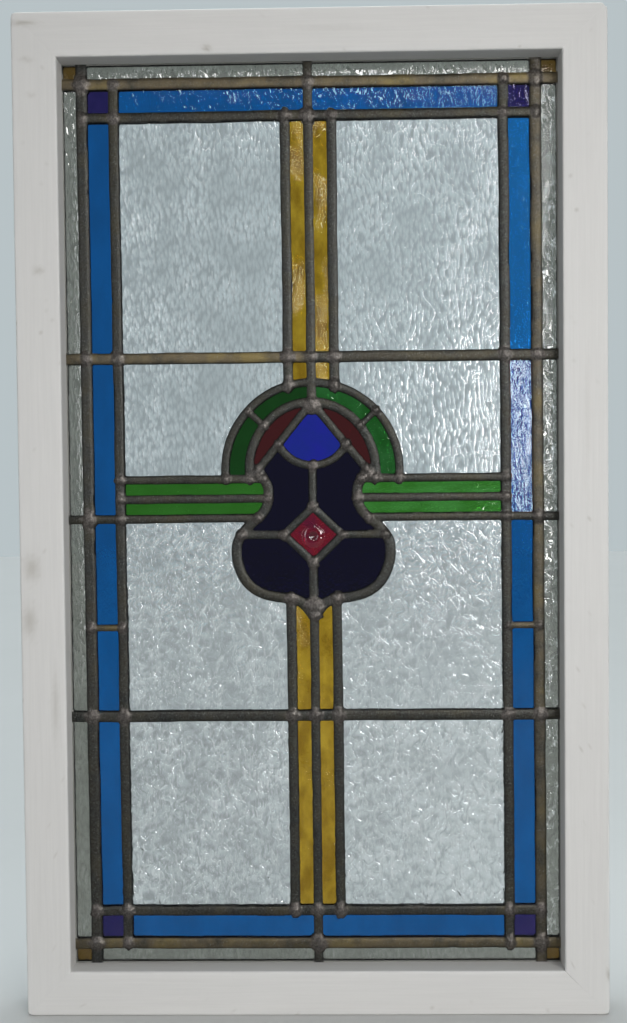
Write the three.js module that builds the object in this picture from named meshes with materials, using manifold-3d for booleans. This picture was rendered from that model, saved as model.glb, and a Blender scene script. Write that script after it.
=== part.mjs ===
// A leaded stained glass window in a painted timber frame, standing upright.
// Sizes are in millimetres. X runs across, Z up, and the front faces -Y.
// The origin is the middle of the frame's underside.
import * as THREE from "three";
import { mergeVertices } from "three/addons/utils/BufferGeometryUtils.js";
import Module from "manifold-3d";

const wasm = await Module();
wasm.setup();

// Timber frame: four mitred members with a rebate behind a front lip
const frameWidth = 421;
const frameHeight = 720;
const frameDepth = 34;
const memberWidth = 32;
const lipDepth = 17;
const rebateWidth = 8;
const easedEdge = 1.2;
const mitreGap = 0.3;

// The leaded panel's thicknesses and clearances
const glassThickness = 3;
const glassPlay = 0.3;
const heartWidth = 1.4;
const flangeEdge = 0.6;
const flangeCrown = 1.5;
const crownShare = 0.5;
const beddingGap = 0.3;
const edgePlay = 0.4;
const edgeLeadWidth = 7.4;

// Putty run round the rebate behind the panel
const puttyRise = 9;
const puttyBlunt = 1;

// Widths of the lead cames
const borderLead = 8;
const innerBorderLead = 7.2;
const crossLead = 8;
const stripeLead = 7.2;
const centreLead = 6.6;
const armLead = 6.2;
const tieLead = 4.6;
const archLead = 6;
const innerArchLead = 6.8;
const dividerLead = 5;
const gableLead = 6;
const diamondLead = 5.9;
const shieldLead = 7.4;

// Borders, measured inwards from the timber's sight edge
const borderInsetSide = 14.8;
const borderInsetEnd = 14.1;
const borderPitchSide = 23.1;
const borderPitchEnd = 24;

// Levels of the crossing leads, from the window's middle height
const armRise = 13.6;
const armPitch = 14.3;
const lowerCrossDrop = 145.5;
const tieDrop = 80.4;
const stripePitch = 16.8;

// Arch over the motif
const archSpring = 6.4;
const archRadius = 63.4;
const greenBandSide = 17.4;
const greenBandCrown = 14.2;
const dividerAngle = THREE.MathUtils.degToRad(42.5);
const crownGap = 18.5;

// Gable, fan and diamond
const gableFootX = 39.5;
const fanRadius = 27.5;
const fanSag = 46;
const diamondHalfWidth = 21.5;
const diamondHalfHeight = 20.5;
const diamondDrop = 26.7;
const jewelRadius = 9;
const jewelRise = 1.8;

// Shield outline, one side: distance from the centre line and height from the middle arm lead
const shieldOutline = [
  [33.4, 10.2],
  [32.2, 3.2],
  [33.4, -5],
  [38.6, -12.8],
  [47.5, -20.6],
  [54.6, -30],
  [56.2, -41],
  [53.2, -53.2],
  [47, -63],
  [38, -69.2],
  [27, -72.2],
  [17, -73.2],
  [9, -76.2],
  [4, -81.5],
  [0.9, -86],
];

// Solder pools where leads crowd together
const apexPoolRadius = 6.8;
const apexPoolDrop = 2.6;
const ogeePoolRadius = 7.5;
const ogeePoolDrop = 79;

// Segments along curved leads
const archSteps = 18;
const innerArchSteps = 14;
const fanSteps = 6;
const shieldSteps = 22;
const jewelSteps = 3;
const poolSides = 12;

// Places worked out from the sizes above
const outerX = frameWidth / 2;
const sightX = outerX - memberWidth;
const sightLow = memberWidth;
const sightHigh = frameHeight - memberWidth;
const rebateX = sightX + rebateWidth;
const rebateLow = sightLow - rebateWidth;
const rebateHigh = sightHigh + rebateWidth;
const frontY = -frameDepth / 2;
const backY = frameDepth / 2;
const shoulderY = frontY + lipDepth;
const channelHalf = glassThickness / 2 + glassPlay;
const edgeHalf = channelHalf + flangeEdge;
const panelHalf = channelHalf + flangeCrown;
const panelY = shoulderY + beddingGap + panelHalf;
const panelX = rebateX - edgePlay;
const panelLow = rebateLow + edgePlay;
const panelHigh = rebateHigh - edgePlay;
const panelMiddleZ = (panelLow + panelHigh) / 2;
const edgeLineX = panelX - edgeLeadWidth / 2;
const edgeLineLow = panelLow + edgeLeadWidth / 2;
const edgeLineHigh = panelHigh - edgeLeadWidth / 2;

const borderX = sightX - borderInsetSide;
const borderLow = sightLow + borderInsetEnd;
const borderHigh = sightHigh - borderInsetEnd;
const innerX = borderX - borderPitchSide;
const innerLow = borderLow + borderPitchEnd;
const innerHigh = borderHigh - borderPitchEnd;

const armMiddle = frameHeight / 2 + armRise;
const armHigh = armMiddle + armPitch;
const armLow = armMiddle - armPitch;
const archCentre = armHigh + archSpring;
const archCrown = archCentre + archRadius;
const innerArchX = archRadius - greenBandSide;
const innerArchRise = archRadius - greenBandCrown;
const apexZ = archCentre + innerArchRise;
const upperCross = archCrown + crownGap;
const lowerCross = frameHeight / 2 - lowerCrossDrop;
const tieZ = frameHeight / 2 - tieDrop;
const fanBottom = apexZ - fanSag;
const fanCentre = fanBottom + fanRadius;
const diamondZ = armMiddle - diamondDrop;
const diamondTop = diamondZ + diamondHalfHeight;
const diamondFoot = diamondZ - diamondHalfHeight;

const glassColours = {
  clear: { color: 0xb9c6c9, opacity: 0.35, roughness: 0.12 },
  blue: { color: 0x0b4f96, opacity: 0.9, roughness: 0.15 },
  amber: { color: 0xa87a12, opacity: 0.9, roughness: 0.2 },
  purple: { color: 0x2b2568, opacity: 0.95, roughness: 0.15 },
  green: { color: 0x1f6d18, opacity: 0.9, roughness: 0.15 },
  darkRed: { color: 0x4a0c14, opacity: 0.95, roughness: 0.15 },
  cobalt: { color: 0x1b2096, opacity: 0.95, roughness: 0.15 },
  navy: { color: 0x0c0b22, opacity: 0.98, roughness: 0.1 },
  ruby: { color: 0x8a1024, opacity: 0.95, roughness: 0.12 },
};

function glassMaterial({ color, opacity, roughness }) {
  return new THREE.MeshStandardMaterial({ color, opacity, roughness, metalness: 0, transparent: true });
}

const paint = new THREE.MeshStandardMaterial({ color: 0xd2d3d2, roughness: 0.55, metalness: 0 });
const leadMetal = new THREE.MeshStandardMaterial({ color: 0x47494a, roughness: 0.45, metalness: 0.7 });
const puttyFinish = new THREE.MeshStandardMaterial({ color: 0xc3c2bb, roughness: 0.8, metalness: 0 });
const glass = {};
for (const [name, look] of Object.entries(glassColours)) {
  glass[name] = glassMaterial(look);
}

// A closed geometry as a solid that can be joined and cut
function toSolid(geometry) {
  const bare = geometry.clone();
  bare.deleteAttribute("normal");
  bare.deleteAttribute("uv");
  const merged = mergeVertices(bare, 1e-4);
  const vertProperties = Float32Array.from(merged.attributes.position.array);
  const triVerts = Uint32Array.from(merged.index.array);
  return new wasm.Manifold(new wasm.Mesh({ numProp: 3, vertProperties, triVerts }));
}

function toGeometry(solid) {
  const mesh = solid.getMesh();
  const geometry = new THREE.BufferGeometry();
  geometry.setAttribute("position", new THREE.BufferAttribute(Float32Array.from(mesh.vertProperties), 3));
  geometry.setIndex(new THREE.BufferAttribute(Uint32Array.from(mesh.triVerts), 1));
  geometry.computeVertexNormals();
  return geometry;
}

function joined(solids) {
  let whole = solids[0];
  for (const solid of solids.slice(1)) {
    whole = whole.add(solid);
  }
  return whole;
}

// A block between two corners, in the panel's own frame
function block(x1, x2, y1, y2, z1, z2) {
  const geometry = new THREE.BoxGeometry(x2 - x1, y2 - y1, z2 - z1);
  geometry.translate((x1 + x2) / 2, (y1 + y2) / 2, (z1 + z2) / 2);
  return toSolid(geometry);
}

// An upright prism through the panel, from an outline of [x, z] points
function prism(outline, halfDepth) {
  const shape = new THREE.Shape(outline.map(([x, z]) => new THREE.Vector2(x, -z)));
  const geometry = new THREE.ExtrudeGeometry(shape, { depth: 2 * halfDepth, bevelEnabled: false });
  geometry.translate(0, 0, -halfDepth);
  geometry.rotateX(-Math.PI / 2);
  return toSolid(geometry);
}

function disc(x, z, radius, halfDepth) {
  const geometry = new THREE.CylinderGeometry(radius, radius, 2 * halfDepth, poolSides);
  geometry.translate(x, 0, z);
  return toSolid(geometry);
}

// A lead line lies flat in the panel, so one side of its section always points to the back
class LeadLine extends THREE.Curve {
  constructor(flat) {
    super();
    this.flat = flat;
  }

  getPoint(t) {
    const point = this.flat.getPoint(t);
    return new THREE.Vector3(point.x, 0, point.y);
  }

  computeFrenetFrames(segments) {
    const frames = { tangents: [], normals: [], binormals: [] };
    for (let i = 0; i <= segments; i += 1) {
      const tangent = this.getTangentAt(i / segments);
      frames.tangents.push(tangent);
      frames.normals.push(new THREE.Vector3(tangent.z, 0, -tangent.x));
      frames.binormals.push(new THREE.Vector3(0, 1, 0));
    }
    return frames;
  }
}

function sweep(outline, { flat, steps }) {
  const shape = new THREE.Shape(outline.map(([across, deep]) => new THREE.Vector2(across, deep)));
  const settings = { steps, bevelEnabled: false, extrudePath: new LeadLine(flat) };
  return toSolid(new THREE.ExtrudeGeometry(shape, settings));
}

function mirrored(side, ridge = []) {
  return side.concat(ridge, side.map(([across, deep]) => [-across, deep]).reverse());
}

// H section of a came: a crowned flange in front, a thin heart and a ridged flange behind
function cameSection(width) {
  const half = width / 2;
  const heart = heartWidth / 2;
  const side = [
    [half * crownShare, -panelHalf],
    [half, -edgeHalf],
    [half, -channelHalf],
    [heart, -channelHalf],
    [heart, channelHalf],
    [half, channelHalf],
    [half, edgeHalf],
  ];
  return mirrored(side, [[0, panelHalf]]);
}

function frontFlange(width) {
  const half = width / 2;
  return mirrored([
    [half * crownShare, -panelHalf],
    [half, -edgeHalf],
    [half, -channelHalf],
  ]);
}

function backFlange(width) {
  const half = width / 2;
  const side = [
    [half, channelHalf],
    [half, edgeHalf],
  ];
  return mirrored(side, [[0, panelHalf]]);
}

// What a came's heart takes out of the glass
function kerfSection() {
  const half = heartWidth / 2 + glassPlay;
  return mirrored([
    [half, -panelHalf],
    [half, panelHalf],
  ]);
}

function line(x1, z1, x2, z2) {
  return new THREE.LineCurve(new THREE.Vector2(x1, z1), new THREE.Vector2(x2, z2));
}

// Every lead that parts one pane from another
const leads = [];

function lay(width, flat, steps = 1) {
  leads.push({ width, flat, steps });
}

function layPair(width, x1, z1, x2, z2) {
  lay(width, line(x1, z1, x2, z2));
  lay(width, line(-x1, z1, -x2, z2));
}

// Where a curve first crosses a height, or a distance from the centre line
function crossing(curve, axis, level) {
  const points = curve.getPoints(200);
  const other = axis === "x" ? "y" : "x";
  for (let i = 1; i < points.length; i += 1) {
    const before = points[i - 1];
    const after = points[i];
    if ((before[axis] - level) * (after[axis] - level) <= 0) {
      const share = (level - before[axis]) / (after[axis] - before[axis]);
      return THREE.MathUtils.lerp(before[other], after[other], share);
    }
  }
  throw new Error(`the curve never reaches ${axis} = ${level}`);
}

function layBorders() {
  layPair(borderLead, borderX, panelLow + heartWidth, borderX, panelHigh - heartWidth);
  layPair(innerBorderLead, innerX, borderLow, innerX, borderHigh);
  for (const z of [borderLow, borderHigh]) {
    lay(borderLead, line(-borderX, z, borderX, z));
  }
  for (const z of [innerLow, innerHigh]) {
    lay(innerBorderLead, line(-borderX, z, borderX, z));
  }
  layPair(tieLead, innerX, tieZ, borderX, tieZ);
}

// An arch standing on the upper arm lead
function archCurve(radiusX, radiusZ) {
  const start = Math.asin((armHigh - archCentre) / radiusZ);
  return new THREE.EllipseCurve(0, archCentre, radiusX, radiusZ, start, Math.PI - start, false, 0);
}

function shieldCurve(side) {
  const shoulder = [gableFootX, archCentre - armMiddle];
  const points = [shoulder, ...shieldOutline];
  return new THREE.SplineCurve(points.map(([x, rise]) => new THREE.Vector2(side * x, armMiddle + rise)));
}

const outerArch = archCurve(archRadius, archRadius);
const innerArch = archCurve(innerArchX, innerArchRise);
const shieldRight = shieldCurve(1);

function layCrossLeads() {
  lay(crossLead, line(-borderX, upperCross, borderX, upperCross));
  lay(crossLead, line(-borderX, lowerCross, borderX, lowerCross));
  for (const z of [armHigh, armMiddle]) {
    layPair(armLead, crossing(shieldRight, "y", z), z, innerX, z);
  }
  layPair(armLead, crossing(shieldRight, "y", armLow), armLow, borderX, armLow);
}

function layStripes() {
  const archAtStripe = archCentre + Math.sqrt(archRadius ** 2 - stripePitch ** 2);
  const shieldAtStripe = crossing(shieldRight, "x", stripePitch);
  layPair(stripeLead, stripePitch, archAtStripe, stripePitch, innerHigh);
  layPair(stripeLead, stripePitch, innerLow, stripePitch, shieldAtStripe);
  lay(centreLead, line(0, apexZ, 0, borderHigh));
  lay(centreLead, line(0, borderLow, 0, diamondFoot));
}

function layMotif() {
  lay(archLead, outerArch, archSteps);
  lay(innerArchLead, innerArch, innerArchSteps);
  const reach = 1 / Math.hypot(Math.cos(dividerAngle) / innerArchX, Math.sin(dividerAngle) / innerArchRise);
  layPair(
    dividerLead,
    reach * Math.cos(dividerAngle),
    archCentre + reach * Math.sin(dividerAngle),
    archRadius * Math.cos(dividerAngle),
    archCentre + archRadius * Math.sin(dividerAngle),
  );
  layPair(gableLead, 0, apexZ, gableFootX, archCentre);
  lay(gableLead, fanCurve(), fanSteps);
  lay(gableLead, line(0, fanBottom, 0, diamondTop));
  layPair(diamondLead, 0, diamondTop, diamondHalfWidth, diamondZ);
  layPair(diamondLead, diamondHalfWidth, diamondZ, 0, diamondFoot);
  layPair(gableLead, diamondHalfWidth, diamondZ, crossing(shieldRight, "y", diamondZ), diamondZ);
  lay(shieldLead, shieldRight, shieldSteps);
  lay(shieldLead, shieldCurve(-1), shieldSteps);
}

// The fan's sagging lead, between the two gable leads
function fanCurve() {
  const slope = (apexZ - archCentre) / gableFootX;
  const tilt = Math.atan(slope);
  const reach = Math.asin(((apexZ - fanCentre) / fanRadius) * Math.cos(tilt)) - tilt;
  const start = Math.PI - reach;
  return new THREE.EllipseCurve(0, fanCentre, fanRadius, fanRadius, start, 2 * Math.PI + reach, false, 0);
}

layBorders();
layCrossLeads();
layStripes();
layMotif();

// Short leads over the outer glass strips, which run on behind them
const stubs = [];
for (const side of [-1, 1]) {
  for (const [z, width] of [
    [borderLow, borderLead],
    [lowerCross, crossLead],
    [armLow, armLead],
    [upperCross, crossLead],
    [borderHigh, borderLead],
  ]) {
    stubs.push({ width, flat: line(side * borderX, z, side * edgeLineX, z), steps: 1 });
  }
}
stubs.push({ width: centreLead, flat: line(0, borderHigh, 0, edgeLineHigh), steps: 1 });
stubs.push({ width: centreLead, flat: line(0, borderLow, 0, edgeLineLow), steps: 1 });

// Pools of solder, each as a solid of the given half depth, widened by a margin
function pools(halfDepth, margin) {
  const foot = innerArchX + margin;
  const neck = crossing(shieldRight, "y", armHigh) - margin;
  const top = archCentre + margin;
  const solids = [
    disc(0, apexZ - apexPoolDrop, apexPoolRadius + margin, halfDepth),
    disc(0, armMiddle - ogeePoolDrop, ogeePoolRadius + margin, halfDepth),
  ];
  for (const side of [-1, 1]) {
    const outline = [
      [side * neck, armHigh],
      [side * foot, armHigh],
      [side * foot, top],
      [side * (gableFootX - margin), top],
    ];
    solids.push(prism(outline, halfDepth));
  }
  return solids;
}

// The edge lead is a channel round the whole panel
function edgeLead() {
  const flange = edgeLeadWidth;
  const outside = block(-panelX, panelX, -edgeHalf, edgeHalf, panelLow, panelHigh);
  const opening = block(
    -panelX + flange, panelX - flange, -panelHalf, panelHalf, panelLow + flange, panelHigh - flange,
  );
  const channel = block(
    -panelX + heartWidth, panelX - heartWidth, -channelHalf, channelHalf,
    panelLow + heartWidth, panelHigh - heartWidth,
  );
  return outside.subtract(opening).subtract(channel);
}

function leadwork() {
  const solids = [edgeLead()];
  for (const lead of leads) {
    solids.push(sweep(cameSection(lead.width), lead));
  }
  for (const stub of stubs) {
    solids.push(sweep(frontFlange(stub.width), stub));
    solids.push(sweep(backFlange(stub.width), stub));
  }
  return joined(solids.concat(pools(edgeHalf, 0)));
}

// One sheet over the whole panel, parted along the hearts of the leads
function cutPanes() {
  const inset = heartWidth + glassPlay;
  const half = glassThickness / 2;
  let sheet = block(-panelX + inset, panelX - inset, -half, half, panelLow + inset, panelHigh - inset);
  for (const lead of leads) {
    sheet = sheet.subtract(sweep(kerfSection(), lead));
  }
  for (const pool of pools(panelHalf, glassPlay)) {
    sheet = sheet.subtract(pool);
  }
  return sheet.decompose();
}

// Each pane's name, glass and a point inside it
const panes = [];

function pane(name, kind, x, z) {
  panes.push({ name, kind, x, z });
}

function panePair(name, kind, x, z) {
  pane(`${name}_left`, kind, -x, z);
  pane(`${name}_right`, kind, x, z);
}

function between(a, b) {
  return (a + b) / 2;
}

function listPanes() {
  const fieldX = between(innerX, stripePitch);
  const borderMiddleX = between(borderX, innerX);
  const stripeX = stripePitch / 2;
  const stripX = between(borderX, panelX);
  panePair("clear_edge_strip", "clear", stripX, panelMiddleZ);
  pane("clear_edge_strip_top", "clear", stripX / 2, between(borderHigh, panelHigh));
  pane("clear_edge_strip_bottom", "clear", stripX / 2, between(borderLow, panelLow));
  const ends = [["top", between(innerHigh, borderHigh)], ["bottom", between(innerLow, borderLow)]];
  for (const [end, z] of ends) {
    panePair(`purple_corner_${end}`, "purple", borderMiddleX, z);
    panePair(`blue_border_${end}`, "blue", fieldX, z);
  }
  const levels = [innerHigh, upperCross, armLow, tieZ, lowerCross, innerLow];
  for (let i = 1; i < levels.length; i += 1) {
    panePair(`blue_border_side_${i}`, "blue", borderMiddleX, between(levels[i - 1], levels[i]));
  }
  panePair("clear_pane_upper", "clear", fieldX, between(innerHigh, upperCross));
  panePair("clear_pane_arch", "clear", between(innerX, archRadius), between(upperCross, armHigh));
  panePair("clear_pane_waist", "clear", fieldX, between(armLow, lowerCross));
  panePair("clear_pane_lower", "clear", fieldX, between(lowerCross, innerLow));
  panePair("amber_stripe_upper", "amber", stripeX, between(innerHigh, upperCross));
  panePair("amber_tip", "amber", stripeX, between(upperCross, archCrown));
  panePair("amber_stripe_middle", "amber", stripeX, between(lowerCross, armMiddle - ogeePoolDrop));
  panePair("amber_stripe_lower", "amber", stripeX, between(lowerCross, innerLow));
  panePair("green_arm_upper", "green", fieldX, between(armHigh, armMiddle));
  panePair("green_arm_lower", "green", fieldX, between(armMiddle, armLow));
  const bandX = between(archRadius, innerArchX);
  const bandZ = between(archRadius, innerArchRise);
  const lowAngle = dividerAngle / 2;
  const highAngle = between(dividerAngle, Math.PI / 2);
  for (const [place, angle] of [["low", lowAngle], ["high", highAngle]]) {
    panePair(`green_arch_${place}`, "green", bandX * Math.cos(angle), archCentre + bandZ * Math.sin(angle));
  }
  const crescentAngle = Math.PI / 4;
  const crescentX = between(gableFootX / 2, innerArchX * Math.cos(crescentAngle));
  const crescentZ = between(between(apexZ, archCentre), archCentre + innerArchRise * Math.sin(crescentAngle));
  panePair("red_crescent", "darkRed", crescentX, crescentZ);
  pane("blue_fan", "cobalt", 0, between(fanBottom, fanCentre));
  panePair("navy_upper", "navy", diamondHalfWidth, between(diamondZ, archCentre));
  panePair("navy_lower", "navy", diamondHalfWidth, diamondFoot);
  pane("red_diamond", "ruby", 0, diamondZ);
}

listPanes();

function holds(piece, { x, z }) {
  const probe = block(x - 0.2, x + 0.2, -0.2, 0.2, z - 0.2, z + 0.2);
  return piece.intersect(probe).volume() > 0;
}

// A low round boss pressed into the middle of the diamond
function jewel() {
  const buried = glassThickness / 2;
  const profile = [new THREE.Vector2(0, -buried), new THREE.Vector2(jewelRadius, -buried)];
  for (let i = 0; i < jewelSteps; i += 1) {
    const angle = (i / jewelSteps) * (Math.PI / 2);
    profile.push(new THREE.Vector2(jewelRadius * Math.cos(angle), jewelRise * Math.sin(angle)));
  }
  profile.push(new THREE.Vector2(0, jewelRise));
  const geometry = new THREE.LatheGeometry(profile, poolSides);
  geometry.rotateX(Math.PI);
  geometry.translate(0, -glassThickness / 2, diamondZ);
  return toSolid(geometry);
}

function panelMeshes() {
  const group = new THREE.Group();
  group.position.y = panelY;
  const lead = new THREE.Mesh(toGeometry(leadwork()), leadMetal);
  lead.name = "lead_cames";
  group.add(lead);
  const pieces = cutPanes();
  for (const spec of panes) {
    let piece = pieces.find((candidate) => holds(candidate, spec));
    if (!piece) {
      throw new Error(`no glass at ${spec.name}`);
    }
    if (spec.name === "red_diamond") {
      piece = piece.add(jewel());
    }
    const geometry = toGeometry(piece);
    geometry.translate(-spec.x, 0, -spec.z);
    const mesh = new THREE.Mesh(geometry, glass[spec.kind]);
    mesh.name = spec.name;
    mesh.position.set(spec.x, 0, spec.z);
    group.add(mesh);
  }
  return group;
}

// Section of a frame member: [distance in from the outer edge, depth]
function memberSection() {
  return new THREE.Shape(
    [
      [0, backY],
      [0, frontY + easedEdge],
      [easedEdge, frontY],
      [memberWidth - easedEdge, frontY],
      [memberWidth, frontY + easedEdge],
      [memberWidth, shoulderY],
      [memberWidth - rebateWidth, shoulderY],
      [memberWidth - rebateWidth, backY],
    ].map(([inward, deep]) => new THREE.Vector2(inward, deep)),
  );
}

// One member, with its ends drawn in to the mitres and turned to run along its side
function member(name, length, corner, inward, along) {
  const geometry = new THREE.ExtrudeGeometry(memberSection(), { depth: length, bevelEnabled: false });
  const position = geometry.attributes.position;
  const margin = mitreGap / Math.SQRT2;
  for (let i = 0; i < position.count; i += 1) {
    const draw = position.getX(i) + margin;
    position.setZ(i, position.getZ(i) > length / 2 ? length - draw : draw);
  }
  geometry.deleteAttribute("normal");
  geometry.deleteAttribute("uv");
  const merged = mergeVertices(geometry, 1e-4);
  merged.computeVertexNormals();
  const mesh = new THREE.Mesh(merged, paint);
  mesh.name = name;
  const turn = new THREE.Matrix4().makeBasis(inward, new THREE.Vector3(0, 1, 0), along);
  mesh.quaternion.setFromRotationMatrix(turn);
  mesh.position.copy(corner);
  return mesh;
}

function frameMeshes() {
  const right = new THREE.Vector3(1, 0, 0);
  const left = new THREE.Vector3(-1, 0, 0);
  const up = new THREE.Vector3(0, 0, 1);
  const down = new THREE.Vector3(0, 0, -1);
  const group = new THREE.Group();
  group.add(
    member("frame_stile_left", frameHeight, new THREE.Vector3(-outerX, 0, 0), right, up),
    member("frame_stile_right", frameHeight, new THREE.Vector3(outerX, 0, frameHeight), left, down),
    member("frame_rail_bottom", frameWidth, new THREE.Vector3(outerX, 0, 0), up, left),
    member("frame_rail_top", frameWidth, new THREE.Vector3(-outerX, 0, frameHeight), down, right),
  );
  return group;
}

// A block whose section grows evenly from front to back
function taperedBlock(front, back, y1, y2) {
  const geometry = new THREE.BoxGeometry(1, 1, 1);
  const position = geometry.attributes.position;
  for (let i = 0; i < position.count; i += 1) {
    const behind = position.getY(i) > 0;
    const size = behind ? back : front;
    position.setXYZ(i, position.getX(i) * size.x, behind ? y2 : y1, position.getZ(i) * size.y);
  }
  geometry.translate(0, 0, frameHeight / 2);
  return toSolid(geometry);
}

// Putty filling the rebate behind the panel, sloped from the sight edge to the timber's back
function puttyMesh() {
  const startY = panelY + panelHalf + beddingGap;
  const endY = startY + puttyRise;
  const outX = rebateX - beddingGap;
  const outLow = rebateLow + beddingGap;
  const outHigh = rebateHigh - beddingGap;
  const reach = rebateWidth - beddingGap - puttyBlunt;
  const spill = reach / puttyRise;
  const front = new THREE.Vector2(2 * (sightX - spill), sightHigh - sightLow - 2 * spill);
  const back = new THREE.Vector2(2 * (sightX + reach + spill), sightHigh - sightLow + 2 * (reach + spill));
  const ring = block(-outX, outX, startY, endY, outLow, outHigh);
  const hole = taperedBlock(front, back, startY - 1, endY + 1);
  const mesh = new THREE.Mesh(toGeometry(ring.subtract(hole)), puttyFinish);
  mesh.name = "putty_fillet";
  return mesh;
}

const stainedGlassWindow = new THREE.Group();
stainedGlassWindow.add(frameMeshes(), panelMeshes(), puttyMesh());

export default stainedGlassWindow;
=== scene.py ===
"""Dresses the leaded stained glass window: painted timber, leadwork, rippled glass and a pale studio."""

import math

import bmesh
import bpy
import numpy as np
from bpy.props import FloatProperty, FloatVectorProperty, PointerProperty
from mathutils import Euler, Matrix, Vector
from mathutils.geometry import delaunay_2d_cdt


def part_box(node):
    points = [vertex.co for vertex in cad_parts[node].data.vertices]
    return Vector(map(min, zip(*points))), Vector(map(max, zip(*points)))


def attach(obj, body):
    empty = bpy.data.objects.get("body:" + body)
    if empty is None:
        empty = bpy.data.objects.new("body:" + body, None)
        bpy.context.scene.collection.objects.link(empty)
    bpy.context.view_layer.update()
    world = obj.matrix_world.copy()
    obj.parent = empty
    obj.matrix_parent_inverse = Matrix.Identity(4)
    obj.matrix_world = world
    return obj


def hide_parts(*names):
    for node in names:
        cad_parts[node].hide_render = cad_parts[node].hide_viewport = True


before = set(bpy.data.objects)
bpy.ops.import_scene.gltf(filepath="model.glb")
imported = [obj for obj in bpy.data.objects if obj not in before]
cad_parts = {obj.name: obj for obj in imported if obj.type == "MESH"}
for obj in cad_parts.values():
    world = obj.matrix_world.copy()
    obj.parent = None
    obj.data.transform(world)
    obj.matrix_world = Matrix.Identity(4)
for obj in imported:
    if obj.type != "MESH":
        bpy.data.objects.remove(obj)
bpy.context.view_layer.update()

bl_info = {
    "name": "Leaded Window Maker",
    "version": (1, 0, 0),
    "blender": (4, 5, 0),
    "location": "View3D > Sidebar > Leaded Window",
    "description": "Builds the painted frame, leadwork, glass and studio of a leaded window",
    "category": "Object",
}

MM = 0.001
ROOT = "root"
SEED = 1931


def node_low(node):
    """Least corner of a solid's box."""
    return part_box(node)[0]


def node_high(node):
    """Greatest corner of a solid's box."""
    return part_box(node)[1]


# The panel's levels, read from the frame in millimetres
STILE_LOW, STILE_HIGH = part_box("frame_stile_left")
FRAME_X = -STILE_LOW.x / MM
FRAME_TOP = round(node_high("frame_rail_top").z / MM, 3)
MEMBER = round(node_high("frame_rail_bottom").z / MM, 3)
FRAME_FRONT = STILE_LOW.y / MM
FRAME_BACK = STILE_HIGH.y / MM
LEAD_LOW, LEAD_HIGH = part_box("lead_cames")
PANEL_X = LEAD_HIGH.x / MM
PANEL_LOW = LEAD_LOW.z / MM
PANEL_HIGH = LEAD_HIGH.z / MM
PANEL_Y = (LEAD_LOW.y + LEAD_HIGH.y) / 2 / MM
CROWN = (LEAD_HIGH.y - LEAD_LOW.y) / 2 / MM
GLASS_HALF = (node_high("blue_fan").y - node_low("blue_fan").y) / 2 / MM


def lead_x(inner, outer):
    """Distance from the centre line of the lead between two panes."""
    return (node_high(inner).x + node_low(outer).x) / 2 / MM


def lead_z(lower, upper):
    """Height of the lead between two panes."""
    return (node_high(lower).z + node_low(upper).z) / 2 / MM


BORDER_X = lead_x("blue_border_side_1_right", "clear_edge_strip_right")
INNER_X = lead_x("clear_pane_upper_right", "blue_border_side_1_right")
STRIPE_X = lead_x("amber_stripe_upper_right", "clear_pane_upper_right")
BORDER_HIGH = lead_z("blue_border_top_right", "clear_edge_strip_top")
INNER_HIGH = lead_z("clear_pane_upper_right", "blue_border_top_right")
BORDER_LOW = lead_z("clear_edge_strip_bottom", "blue_border_bottom_right")
INNER_LOW = lead_z("blue_border_bottom_right", "clear_pane_lower_right")
UPPER_CROSS = lead_z("amber_tip_right", "amber_stripe_upper_right")
LOWER_CROSS = lead_z("amber_stripe_lower_right", "amber_stripe_middle_right")
TIE_Z = lead_z("blue_border_side_4_right", "blue_border_side_3_right")
ARM_LOW = lead_z("blue_border_side_3_right", "blue_border_side_2_right")
ARM_MIDDLE = lead_z("green_arm_lower_right", "green_arm_upper_right")
ARM_HIGH = 2 * ARM_MIDDLE - ARM_LOW

# Cames, in millimetres: widths, the channel that holds the glass, and the flange's thin edge
BORDER_CAME = 8.0
INNER_CAME = 7.2
TIE_CAME = 4.6
ARM_CAME = 6.2
CENTRE_CAME = 6.6
ARCH_CAME = 6.0
INNER_ARCH_CAME = 6.8
DIVIDER_CAME = 5.0
DIAMOND_CAME = 5.9
SHIELD_CAME = 7.4
EDGE_LEAD = 8.3
HEART = 1.4
GLASS_PLAY = 0.3
FLANGE = 0.6
CHANNEL = GLASS_HALF + GLASS_PLAY
FLANGE_EDGE = CHANNEL + FLANGE

# Distance taken where no came is near
FAR = 9.0

# Unevenness of the lead, in millimetres: how far it goes, and over what length
LONG_WANDER = 55.0
TREMOR, TREMOR_LENGTH = 0.12, 9.0
SWELLING, SWELLING_LENGTH = 0.35, 28.0
DENT, DENT_LENGTH = 0.10, 12.0
NICK, NICK_LENGTH = 0.05, 3.5
PIT, PIT_LENGTH = 0.12, 1.9
RAGGED_LENGTH = 3.2
SKIN = 0.25

# Mesh cells of the lead's front and back faces, in millimetres
LEAD_STEP = 1.05
BACK_STEP = 1.35
LEAD_SEED = 10

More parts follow.
